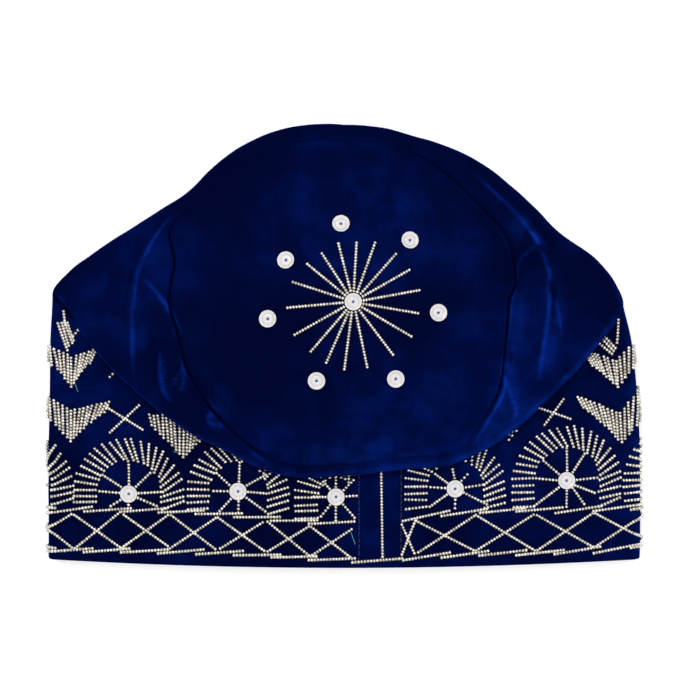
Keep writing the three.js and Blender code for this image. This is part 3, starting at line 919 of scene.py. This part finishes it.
def make_side_wall(around, counts):
    """Grid of the side wall, from the rim to the crown seam."""
    places, ways, lengths, seams, tops = [], [], [], [], []
    for turn in main_turns(around):
        section = Section(float(turn))
        stops = [HALF, *section.marks, section.seam - SEAM_GAP / 2]
        for k in range(4, 0, -1):
            stops[k] = min(stops[k], stops[k + 1] - 0.2 * counts[k])
        place, way, length = section.stations(stops, counts)
        places.append(place)
        ways.append(way)
        lengths.append(length)
        seams.append(section.seam)
        tops.append(section.marks[3])
    lengths = np.array(lengths)
    places = np.array(places)
    places[:, -counts[4] :, 2] = evened(places[:, -counts[4] :, 2], main_turns(around))
    return places, np.array(ways), np.array(seams)[:, None] - lengths, lengths - np.array(tops)[:, None]


def make_crown(around, counts):
    """Grid of the crown top, from its seam to near its middle."""
    places, ways, gaps = [], [], []
    for turn in main_turns(around):
        section = Section(float(turn))
        start = section.seam + SEAM_GAP / 2
        edge = max(section.marks[3], start + 6)
        stops = (start, edge, section.length[-1] - 0.6)
        place, way, length = section.stations(stops, counts)
        places.append(place)
        ways.append(way)
        gaps.append(length - section.seam)
    return np.array(places), np.array(ways), np.array(gaps)


def wall_point(along, up):
    """Places at mid-cloth on the flattened wall."""
    turn = wrap(90 * along / QUARTER)
    x, flatness = lane(turn, up)
    z = np.where(np.abs(turn) <= 90, front_height(x, up), back_height(flatness, up))
    return np.column_stack((x, rim_y(x) + up, z))


def wall_surface(along, up):
    """Places at mid-cloth on the wall, and the way out of it."""
    across = wall_point(along + 0.3, up) - wall_point(along - 0.3, up)
    rising = wall_point(along, up + 0.3) - wall_point(along, up - 0.3)
    out = np.cross(across, rising)
    return wall_point(along, up), out / np.linalg.norm(out, axis=1, keepdims=True)


def crown_surface(x, y):
    """Places at mid-cloth on the crown, and the way out of it."""
    lean = 1.0
    slope_x = (crown_height(x + lean, y) - crown_height(x - lean, y)) / (2 * lean)
    slope_y = (crown_height(x, y + lean) - crown_height(x, y - lean)) / (2 * lean)
    out = np.column_stack((-slope_x, -slope_y, np.ones(len(x))))
    return np.column_stack((x, y, crown_height(x, y))), out / np.linalg.norm(out, axis=1, keepdims=True)


def off_cloth(place, out, clear, settings):
    """Places a clear distance off the cloth's outside."""
    lift = relief(place[None], settings.unevenness / MM)[0]
    return place + out * (HALF + np.maximum(lift, -0.2) + clear)[:, None]


def in_sight(along, place):
    """Whether the upper layer leaves a place on the wall free."""
    dx, dy = place[:, 0] - CROWN[0], place[:, 1] - CROWN[1]
    turn = np.degrees(np.arctan2(dx, -dy)) + CROWN_TILT
    free = np.hypot(dx, dy) > reach(turn) - 0.6
    return free | (np.abs(wrap(90 * along / QUARTER)) > 90)


def sampled(row, step=0.7):
    """Even places along a straight line on a chart."""
    a0, b0, a1, b1 = row
    t = np.linspace(0, 1, max(3, math.ceil(math.hypot(a1 - a0, b1 - b0) / step) + 1))
    return a0 + (a1 - a0) * t, b0 + (b1 - b0) * t


def wall_strings(rows, clear, settings):
    """Runs of places in space for lines (along, up, along, up) on the wall's chart."""
    runs = []
    for row in rows:
        along, up = sampled(row)
        place, out = wall_surface(along, up)
        keep = in_sight(along, place) & (up < np.where(np.abs(along) > QUARTER - 4, 105, 130)) & (up > 2.5)
        centre = off_cloth(place, out, clear, settings)
        for part in np.split(np.arange(len(keep)), np.flatnonzero(np.diff(keep.astype(int))) + 1):
            if keep[part[0]] and len(part) > 2:
                runs.append(centre[part])
    return runs


def crown_strings(rows, clear, settings):
    """Runs of places in space for lines (x, y, x, y) on the crown."""
    return [off_cloth(*crown_surface(*sampled(row)), clear, settings) for row in rows]


def border(name, along):
    return float(follow(BORDERS, "along", name, (along + 292.0) % 584.0 - 292.0))


def shaken(rows, settings, amount):
    """Hand-sewn lines: each end a little off."""
    draw = np.random.default_rng(settings.seed)
    rows = np.array(rows, float)
    return rows + draw.normal(0.0, amount, rows.shape)


def star_rows():
    x, y = CROWN_SEQUINS["x"][0], CROWN_SEQUINS["y"][0]
    rows = []
    for bearing, length in zip(STAR["bearing"], STAR["length"]):
        c, s = math.cos(math.radians(bearing)), math.sin(math.radians(bearing))
        rows.append((x + STAR_INNER * c, y + STAR_INNER * s, x + length * c, y + length * s))
    return rows


def wheel_rows():
    """Spokes round every wall sequin, cut short above the band."""
    rows = []
    for k, (along, up) in enumerate(zip(WHEELS["along"], WHEELS["up"])):
        table = SPOKES.get(k, EVEN_SPOKES)
        floor = border("high", along) + 1.4
        for bearing, length in zip(table["bearing"], table["length"]):
            c, s = math.cos(math.radians(bearing)), math.sin(math.radians(bearing))
            if up + length * s < floor:
                length = (floor - up) / s
            inner = (along + SPOKE_INNER * c, up + SPOKE_INNER * s)
            rows.append((*inner, along + length * c, up + length * s))
    return rows


def arch_rows():
    """Short strings side by side round every wheel: two legs and a round top, none on the plain field."""
    rows = []
    for along, up, inner, outer in zip(*(WHEELS[k] for k in ("along", "up", "arch_in", "arch_out"))):
        middle, half = (inner + outer) / 2, (outer - inner) / 2
        leg = up - border("high", along) - 2.6
        total = math.pi * middle + 2 * leg
        for place in np.linspace(0, total, int(total / ARCH_STEP) + 1):
            angle = math.degrees(min(max(place - leg, 0.0), math.pi * middle) / middle)
            down = max(leg - place, 0.0) + max(place - leg - math.pi * middle, 0.0)
            a = along + middle * math.cos(math.radians(angle))
            u = up + middle * math.sin(math.radians(angle)) - down
            lean = float(follow(ARCH_LEAN, "angle", "lean", angle))
            c, s = (half * f(math.radians(angle + lean)) for f in (math.cos, math.sin))
            if max(a - c, a + c) < FIELD[0] or min(a - c, a + c) > FIELD[1] - 2:
                rows.append((a - c, u - s, a + c, u + s))
    return rows


def cross_rows():
    rows = []
    for along, up in zip(WHEELS["along"], WHEELS["up"]):
        shape = CROSSES["left" if along < 0 else "right"]
        for level in (0, 1):
            a, u = along + shape["across"], up + shape["above"] + level * CROSS_NEXT
            for angle in shape["angles"]:
                c, s = (shape["length"] / 2 * f(math.radians(angle)) for f in (math.cos, math.sin))
                rows.append((a - c, u - s, a + c, u + s))
    return [r for r in rows if max(r[0], r[2]) < FIELD[0] or min(r[0], r[2]) > FIELD[1]]


def chevron_rows(level):
    """Near-vertical strings side by side, filling arrows that point down between wheels."""
    wheels = list(WHEELS["along"]) + [WHEELS["along"][0] + 4 * QUARTER]
    rows = []
    for column in ((a + b) / 2 for a, b in zip(wheels, wheels[1:])):
        if FIELD[0] < column < FIELD[1]:
            continue
        shape = CHEVRONS["left" if column < 0 else "right"][level]
        across = shape["half"]
        odd = next((o for o in ODD_COLUMNS if abs(o["along"] - column) < 2), {"move": 0.0})
        if level == 0:
            shape = {**shape, **odd}
        count = int(shape["half"] / CHEVRON_STEP)
        for k in range(-count, count + 1):
            far = abs(k) * CHEVRON_STEP
            inner = k * column < 0
            low = shape["low"] * far / across if inner else shape["out_low"] * far
            high = shape["high"] * far / across if inner else shape["out_high"] * min(far, 10.0)
            tall = shape["depth"] + high - low
            if tall < SHORTEST_STRING:
                continue
            lean = (INNER_LEAN if inner else OUTER_LEAN) * far / across
            shift = tall * math.tan(math.radians(lean)) * np.sign(k)
            a = column + odd["move"] + k * CHEVRON_STEP
            rows.append((a - shift, shape["tip"] + low, a, shape["tip"] + low + tall))
    return rows


def band_rows():
    """Two borders of overlapping strings with crossed strings between, and the seam string."""
    rows = []
    for name in ("low", "high"):
        for first, last in ((-4 * QUARTER / 2, FIELD[0]), (FIELD[1], 4 * QUARTER / 2)):
            count = round((last - first - SHINGLE["length"]) / SHINGLE["step"]) + 1
            for start in np.linspace(first, last - SHINGLE["length"], count):
                end = start + SHINGLE["length"]
                a, b = border(name, start), border(name, end)
                rows.append((start, a - SHINGLE["rise"], end, b + SHINGLE["rise"]))
    rows.append((FIELD[0] - 1.5, border("low", 5) - 0.6, FIELD[1], border("low", 28) - 0.4))
    for crossings, ends in ((LATTICE_LEFT, (-292.4, 4.4)), (LATTICE_RIGHT, (27.3, 292.4))):
        marks = [ends[0], *((a + b) / 2 for a, b in zip(crossings, crossings[1:])), ends[1]]
        if crossings is LATTICE_RIGHT:
            marks[1] = 35.0
        for a, b in zip(marks, marks[1:]):
            lows = [border("low", m) + 1.5 for m in (a, b)]
            highs = [border("high", m) - 2.2 for m in (a, b)]
            rows += [(a + 0.7, lows[0], b - 0.7, highs[1]), (a + 0.7, highs[0], b - 0.7, lows[1])]
    rows.append((SEAM_STRING["along"], SEAM_STRING["from"], SEAM_STRING["along"], SEAM_STRING["to"]))
    return rows


def line_mesh(name, runs):
    """Open lines through places in space."""
    mesh = bpy.data.meshes.new(name)
    edges, first = [], 0
    for run in runs:
        edges += [(k, k + 1) for k in range(first, first + len(run) - 1)]
        first += len(run)
    mesh.from_pydata([tuple(p) for p in np.concatenate(runs) * MM], edges, [])
    return mesh


def new_tree(name, sockets):
    """A geometry tree with its named inputs, and those inputs."""
    tree = bpy.data.node_groups.new(name, "GeometryNodeTree")
    tree.interface.new_socket("Geometry", in_out="OUTPUT", socket_type="NodeSocketGeometry")
    for label, kind in (("Geometry", "Geometry"), *sockets):
        tree.interface.new_socket(label, in_out="INPUT", socket_type="NodeSocket" + kind)
    return tree, tree.nodes.new("NodeGroupInput").outputs


def close_tree(tree, geometry, material):
    """Smooth faces, real geometry, a material, and the way out."""
    smooth = add(tree, "GeometryNodeSetShadeSmooth", {"Geometry": geometry})
    real = add(tree, "GeometryNodeRealizeInstances", {"Geometry": smooth.outputs[0]})
    done = add(tree, "GeometryNodeSetMaterial", {"Geometry": real.outputs[0], "Material": material})
    tree.links.new(done.outputs[0], tree.nodes.new("NodeGroupOutput").inputs["Geometry"])
    return tree


def draw_value(tree, seed, low, high, salt):
    """A random number for every bead."""
    node = add(tree, "FunctionNodeRandomValue", data_type="FLOAT")
    sockets = {socket.name: socket for socket in node.inputs if socket.enabled}
    sockets["Min"].default_value = low
    sockets["Max"].default_value = high
    tree.links.new(calculate(tree, "ADD", seed, salt), sockets["Seed"])
    return next(socket for socket in node.outputs if socket.enabled)


def bead_tree():
    """Threads a bead at every pitch along lines."""
    sizes = (("Pitch", "Float"), ("Width", "Float"), ("Length", "Float"))
    tree, given = new_tree("bead_strings", (*sizes, ("Seed", "Int"), ("Material", "Material")))
    curve = add(tree, "GeometryNodeMeshToCurve", {"Mesh": given["Geometry"]})
    strung = {"Curve": curve.outputs[0], "Length": given["Pitch"]}
    points = add(tree, "GeometryNodeCurveToPoints", strung, mode="LENGTH")
    drum = {"Vertices": 8, "Side Segments": 3, "Radius": 0.5, "Depth": 1.0}
    bead = add(tree, "GeometryNodeMeshCylinder", fill_type="TRIANGLE_FAN", **drum)
    place = add(tree, "GeometryNodeInputPosition").outputs[0]
    height = add(tree, "ShaderNodeSeparateXYZ", {0: place}).outputs["Z"]
    far = calculate(tree, "ABSOLUTE", height)
    drawn_in = add(tree, "ShaderNodeMapRange", {"Value": calculate(tree, "GREATER_THAN", far, 0.4)})
    drawn_in.inputs["To Min"].default_value = 1.0
    drawn_in.inputs["To Max"].default_value = 0.66
    squeeze = add(tree, "ShaderNodeCombineXYZ", {"X": drawn_in.outputs[0], "Y": drawn_in.outputs[0]}, Z=1.0)
    barrel = add(tree, "ShaderNodeVectorMath", {0: place, 1: squeeze.outputs[0]}, operation="MULTIPLY")
    moved = {"Geometry": bead.outputs["Mesh"], "Position": barrel.outputs[0]}
    shaped = add(tree, "GeometryNodeSetPosition", moved)
    smooth = add(tree, "GeometryNodeSetShadeSmooth", {"Geometry": shaped.outputs[0]})
    even = draw_value(tree, given["Seed"], 0.93, 1.07, 1)
    wide = calculate(tree, "MULTIPLY", given["Width"], even)
    size = add(tree, "ShaderNodeCombineXYZ", {"X": wide, "Y": wide, "Z": given["Length"]})
    placed = add(
        tree,
        "GeometryNodeInstanceOnPoints",
        {
            "Points": points.outputs["Points"],
            "Instance": smooth.outputs[0],
            "Rotation": points.outputs["Rotation"],
            "Scale": size.outputs[0],
        },
    )
    tone = draw_value(tree, given["Seed"], 0.0, 1.0, 2)
    toned = add(
        tree,
        "GeometryNodeStoreNamedAttribute",
        {"Geometry": placed.outputs[0], "Value": tone},
        data_type="FLOAT",
        domain="INSTANCE",
        Name="tone",
    )
    return close_tree(tree, toned.outputs[0], given["Material"])


def thread_tree():
    """Lays a round thread along lines."""
    tree, given = new_tree("threads", (("Radius", "Float"), ("Material", "Material")))
    curve = add(tree, "GeometryNodeMeshToCurve", {"Mesh": given["Geometry"]})
    ring = add(tree, "GeometryNodeCurvePrimitiveCircle", {"Radius": given["Radius"]}, Resolution=6)
    tube = add(
        tree,
        "GeometryNodeCurveToMesh",
        {"Curve": curve.outputs[0], "Profile Curve": ring.outputs[0]},
        **{"Fill Caps": True},
    )
    return close_tree(tree, tube.outputs[0], given["Material"])


def grown(name, runs, tree_name, make_tree, values):
    """A piece grown along lines by a geometry tree, as a plain mesh."""
    tree = bpy.data.node_groups.get(tree_name) or make_tree()
    piece = bpy.data.objects.new(name, line_mesh(name, runs))
    bpy.context.scene.collection.objects.link(piece)
    modifier = piece.modifiers.new("grow", "NODES")
    modifier.node_group = tree
    for item in tree.interface.items_tree:
        if item.in_out == "INPUT" and item.name in values:
            modifier[item.identifier] = values[item.name]
    bpy.context.view_layer.update()
    evaluated = piece.evaluated_get(bpy.context.evaluated_depsgraph_get())
    mesh = bpy.data.meshes.new_from_object(evaluated)
    piece.modifiers.clear()
    piece.data = mesh
    mesh.name = name
    if not mesh.polygons:
        raise RuntimeError(f"{name} came out empty")
    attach(piece, "root")
    return piece


def beads(name, runs, settings):
    values = {
        "Pitch": settings.bead_pitch,
        "Width": settings.bead_width,
        "Length": settings.bead_length,
        "Seed": settings.seed,
        "Material": fetch("silver_seed_bead", bead_material),
    }
    return grown(name, runs, "bead_strings", bead_tree, values)


def threads(name, runs, radius, material):
    return grown(name, runs, "threads", thread_tree, {"Radius": radius * MM, "Material": material})


# A sequin's cut from its hole outwards and back below: out from the middle, up from the cloth
SEQUIN_CUT = {
    "out": (0.55, 1.5, 2.3, 2.55, 2.8, 3.5, 4.1, 4.2, 4.1, 2.6, 0.55),
    "up": (0.4, 0.42, 0.42, 0.3, 0.46, 0.74, 1.0, 0.93, 0.8, 0.04, 0.0),
}
SEQUIN_SIDES = 40
SEQUIN_GAP = 0.4


def sequin_mesh(name, places, outs):
    """Dished sequins on their places, facing out."""
    turn = 2 * np.pi * np.arange(SEQUIN_SIDES) / SEQUIN_SIDES
    out, up = (np.array(SEQUIN_CUT[k]) for k in ("out", "up"))
    flare = np.where(out > 2.6, out - 2.6, 0.0) * 0.09
    verts, faces, marks = [], [], []
    for k, (place, facing) in enumerate(zip(places, outs)):
        side = np.cross(facing, (0.0, 1.0, 0.0))
        side /= np.linalg.norm(side)
        ahead = np.cross(facing, side)
        around = np.cos(turn)[:, None, None] * side + np.sin(turn)[:, None, None] * ahead
        height = up + flare * np.cos(8 * turn + k)[:, None]
        first = len(verts) * SEQUIN_SIDES * len(out)
        verts.append((place + out[:, None] * around + height[..., None] * facing).reshape(-1, 3))
        rows = len(out)
        i, j = np.meshgrid(np.arange(SEQUIN_SIDES), np.arange(rows), indexing="ij")
        n, m = (i + 1) % SEQUIN_SIDES, (j + 1) % rows
        corners = [first + a * rows + b for a, b in ((i, j), (i, m), (n, m), (n, j))]
        faces += np.stack([c.ravel() for c in corners], axis=1).tolist()
        marks.append(np.tile(out, SEQUIN_SIDES))
    mesh = smooth_mesh(name, np.concatenate(verts) * MM, faces)
    mesh.attributes.new("radius_mm", "FLOAT", "POINT").data.foreach_set("value", np.concatenate(marks))
    return mesh


def sequin_seats(settings):
    """Places and ways out of the crown's and the wall's sequins, on the cloth."""
    crown = crown_surface(np.array(CROWN_SEQUINS["x"]), np.array(CROWN_SEQUINS["y"]))
    wall = wall_surface(np.array(WHEELS["along"]), np.array(WHEELS["up"]))
    return [(off_cloth(place, out, SEQUIN_GAP, settings), out) for place, out in (crown, wall)]


def knot_runs(seats, draw):
    """Short stitches that sink into each sequin's hole."""
    runs = []
    for places, outs in seats:
        for place, facing in zip(places, outs):
            bearing = draw.uniform(0, 2 * math.pi)
            way = np.array((math.cos(bearing), math.sin(bearing), 0.0))
            t = np.linspace(-1, 1, 7)[:, None]
            runs.append(place + facing * (0.62 - 0.5 * t * t) + way * 0.62 * t)
    return runs


class CapSettings(bpy.types.PropertyGroup):
    """Sizes of the cap's cloth and beads."""

    sections: bpy.props.IntProperty(
        name="Sections",
        description="Sections round the cap",
        default=320,
        min=40,
        max=400,
    )
    seam_depth: bpy.props.FloatProperty(
        name="Seam depth",
        description="How far the cloth turns down at the crown seam",
        default=0.0005,
        unit="LENGTH",
    )
    unevenness: bpy.props.FloatProperty(
        name="Unevenness",
        description="Height of the cloth's slight waves",
        default=0.00035,
        unit="LENGTH",
    )
    bead_width: bpy.props.FloatProperty(
        name="Bead width",
        description="Across a seed bead",
        default=0.0018,
        unit="LENGTH",
    )
    bead_length: bpy.props.FloatProperty(
        name="Bead length",
        description="Along a bead's hole",
        default=0.00142,
        unit="LENGTH",
    )
    bead_pitch: bpy.props.FloatProperty(
        name="Bead pitch",
        description="From bead to bead on a thread",
        default=0.00145,
        unit="LENGTH",
    )
    seed: bpy.props.IntProperty(name="Seed", description="Start of the random draws", default=SEED)


class StageSettings(bpy.types.PropertyGroup):
    """Sizes of the studio."""

    view_width: bpy.props.FloatProperty(
        name="View width",
        description="Width that the camera takes in at the cloth",
        default=0.3415,
        unit="LENGTH",
    )
    floor_size: bpy.props.FloatProperty(
        name="Floor size",
        description="Side of the pale floor",
        default=6.0,
        unit="LENGTH",
    )
    key_power: bpy.props.FloatProperty(
        name="Key power",
        description="Watts of the large top light",
        default=9.0,
        unit="POWER",
    )


class CAP_OT_side_wall(bpy.types.Operator):
    """Makes the flattened velvet wall, tucked under the crown"""

    bl_idname = "cap.side_wall"
    bl_label = "Side wall"

    def execute(self, context):
        settings = context.scene.cap
        places, ways, gap, over = make_side_wall(settings.sections, (34, 10, 14, 16, 50))
        outside, glint = dress(places, gap, ease(-1, 4, over), settings)
        mesh = cloth_mesh("side_wall_velvet", places, ways, outside, False, glint)
        piece = show("side_wall_velvet", mesh, fetch("blue_velvet", velvet_material))
        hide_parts("side_wall")
        return {"FINISHED"}


class CAP_OT_crown_top(bpy.types.Operator):
    """Makes the round velvet crown top, tipped forward"""

    bl_idname = "cap.crown_top"
    bl_label = "Crown top"

    def execute(self, context):
        settings = context.scene.cap
        places, ways, gap = make_crown(settings.sections, (14, 60))
        outside, glint = dress(places, gap, 1.0, settings)
        mesh = cloth_mesh("crown_top_velvet", places, ways, outside, True, glint)
        piece = show("crown_top_velvet", mesh, fetch("blue_velvet", velvet_material))
        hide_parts("crown_top")
        return {"FINISHED"}


class CAP_OT_sequins(bpy.types.Operator):
    """Sews the pearl sequins to the crown and the wall, with blue stitches in their holes"""

    bl_idname = "cap.sequins"
    bl_label = "Sequins"

    def execute(self, context):
        settings = context.scene.cap
        seats = sequin_seats(settings)
        film = fetch("pearl_sequin", sequin_material)
        crown = show("crown_sequins", sequin_mesh("crown_sequins", *seats[0]), film)
        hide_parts(*(f"crown_sequin_{name}" for name in CROWN_SEQUINS["name"]))
        wall = show("wall_sequins", sequin_mesh("wall_sequins", *seats[1]), film)
        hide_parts(*(f"wall_sequin_{k + 1}" for k in range(len(WHEELS["along"]))))
        draw = np.random.default_rng(settings.seed)
        blue = fetch("blue_thread", thread_material, "blue_thread", "#0B2F8A", "#2C66C8")
        threads("sequin_stitches", knot_runs(seats, draw), 0.3, blue)
        return {"FINISHED"}


class CAP_OT_crown_beads(bpy.types.Operator):
    """Strings the star of seed beads on the crown top"""

    bl_idname = "cap.crown_beads"
    bl_label = "Crown beads"

    def execute(self, context):
        settings = context.scene.cap
        clear = 0.4 * settings.bead_width / MM
        runs = crown_strings(shaken(star_rows(), settings, 0.15), clear, settings)
        beads("crown_star_beads", runs, settings)
        return {"FINISHED"}


class CAP_OT_wall_beads(bpy.types.Operator):
    """Strings the wheels, arches, crosses, chevrons and the band of seed beads on the wall"""

    bl_idname = "cap.wall_beads"
    bl_label = "Wall beads"

    def execute(self, context):
        settings = context.scene.cap
        clear = 0.4 * settings.bead_width / MM
        for name, rows, amount in (
            ("wall_wheel_beads", wheel_rows(), 0.2),
            ("wall_arch_beads", arch_rows(), 0.3),
            ("wall_cross_beads", cross_rows(), 0.4),
            ("wall_chevron_beads", chevron_rows(0), 0.2),
            ("wall_upper_chevron_beads", chevron_rows(1) + list(STRAYS), 0.2),
            ("wall_band_beads", band_rows(), 0.3),
        ):
            beads(name, wall_strings(shaken(rows, settings, amount), clear, settings), settings)
        return {"FINISHED"}


class CAP_OT_threads(bpy.types.Operator):
    """Lays the loose thread ends and the stitch lines beside the wall's seam"""

    bl_idname = "cap.threads"
    bl_label = "Threads"

    def execute(self, context):
        settings = context.scene.cap
        teal = fetch("teal_thread", thread_material, "teal_thread", "#12626C", "#3FA9B2")
        threads("loose_threads", wall_strings(LOOSE_ENDS, 0.3, settings), 0.17, teal)
        ups = np.arange(STITCHES["from"], STITCHES["to"], STITCHES["step"])
        stitches = [(a, u, a, u + STITCHES["length"]) for a in STITCHES["along"] for u in ups]
        navy = fetch("navy_thread", thread_material, "navy_thread", "#020828", "#061344")
        threads("seam_stitches", wall_strings(stitches, 0.05, settings), 0.18, navy)
        return {"FINISHED"}


class CAP_OT_stage(bpy.types.Operator):
    """Lays the pale floor, hangs the soft lights and sets the camera above"""

    bl_idname = "cap.stage"
    bl_label = "Stage"

    def execute(self, context):
        settings = context.scene.cap_stage
        half = settings.floor_size / 2
        corners = ((-half, -half, 0), (half, -half, 0), (half, half, 0), (-half, half, 0))
        floor = smooth_mesh("floor", corners, [[0, 1, 2, 3]])
        floor.materials.append(floor_material())
        plane = bpy.data.objects.new("floor", floor)
        context.scene.collection.objects.link(plane)
        world = bpy.data.worlds.new("soft_studio")
        world.use_nodes = True
        sky = world.node_tree
        way = add(sky, "ShaderNodeTexCoord").outputs["Generated"]
        up = add(sky, "ShaderNodeSeparateXYZ", {0: way}).outputs["Z"]
        colour = mix_colour(sky, span(sky, up, 0.0, 0.9), srgb("#6A6A6C"), srgb("#FFFFFF"))
        sky.links.new(colour, sky.nodes["Background"].inputs["Color"])
        sky.nodes["Background"].inputs["Strength"].default_value = 1.1
        context.scene.world = world
        for row in LIGHTS:
            light = bpy.data.lights.new(row["name"], "AREA")
            light.size = row["size"]
            light.energy = row["share"] * settings.key_power
            lamp = bpy.data.objects.new(row["name"], light)
            lamp.location = row["place"]
            lamp.rotation_euler = (-Vector(row["place"])).to_track_quat("-Z", "Y").to_euler()
            context.scene.collection.objects.link(lamp)
        data = bpy.data.cameras.new("camera")
        data.lens = 100.0
        data.sensor_width = 36.0
        camera = bpy.data.objects.new("camera", data)
        distance = settings.view_width * data.lens / data.sensor_width
        camera.location = (*VIEW_MIDDLE, VIEW_HEIGHT + distance)
        context.scene.collection.objects.link(camera)
        context.scene.camera = camera
        context.scene.view_settings.view_transform = "Standard"
        context.scene.view_settings.look = "None"
        return {"FINISHED"}


class CAP_PT_panel(bpy.types.Panel):
    """Sizes and steps of the cap"""

    bl_idname = "CAP_PT_panel"
    bl_label = "Velvet cap"
    bl_space_type = "VIEW_3D"
    bl_region_type = "UI"
    bl_category = "Cap"

    def draw(self, context):
        for group in (context.scene.cap, context.scene.cap_stage):
            for name in group.bl_rna.properties.keys():
                if name not in ("rna_type", "name"):
                    self.layout.prop(group, name)
        for operator in OPERATORS:
            self.layout.operator(operator.bl_idname)


OPERATORS = (
    CAP_OT_side_wall,
    CAP_OT_crown_top,
    CAP_OT_sequins,
    CAP_OT_crown_beads,
    CAP_OT_wall_beads,
    CAP_OT_threads,
    CAP_OT_stage,
)
CLASSES = (CapSettings, StageSettings, *OPERATORS, CAP_PT_panel)


def register():
    for cls in CLASSES:
        bpy.utils.register_class(cls)
    bpy.types.Scene.cap = bpy.props.PointerProperty(type=CapSettings)
    bpy.types.Scene.cap_stage = bpy.props.PointerProperty(type=StageSettings)


def unregister():
    del bpy.types.Scene.cap_stage
    del bpy.types.Scene.cap
    for cls in reversed(CLASSES):
        bpy.utils.unregister_class(cls)


def main():
    register()
    bpy.ops.cap.side_wall()
    bpy.ops.cap.crown_top()
    bpy.ops.cap.sequins()
    bpy.ops.cap.crown_beads()
    bpy.ops.cap.wall_beads()
    bpy.ops.cap.threads()
    bpy.ops.cap.stage()


if __name__ == "__main__":
    main()
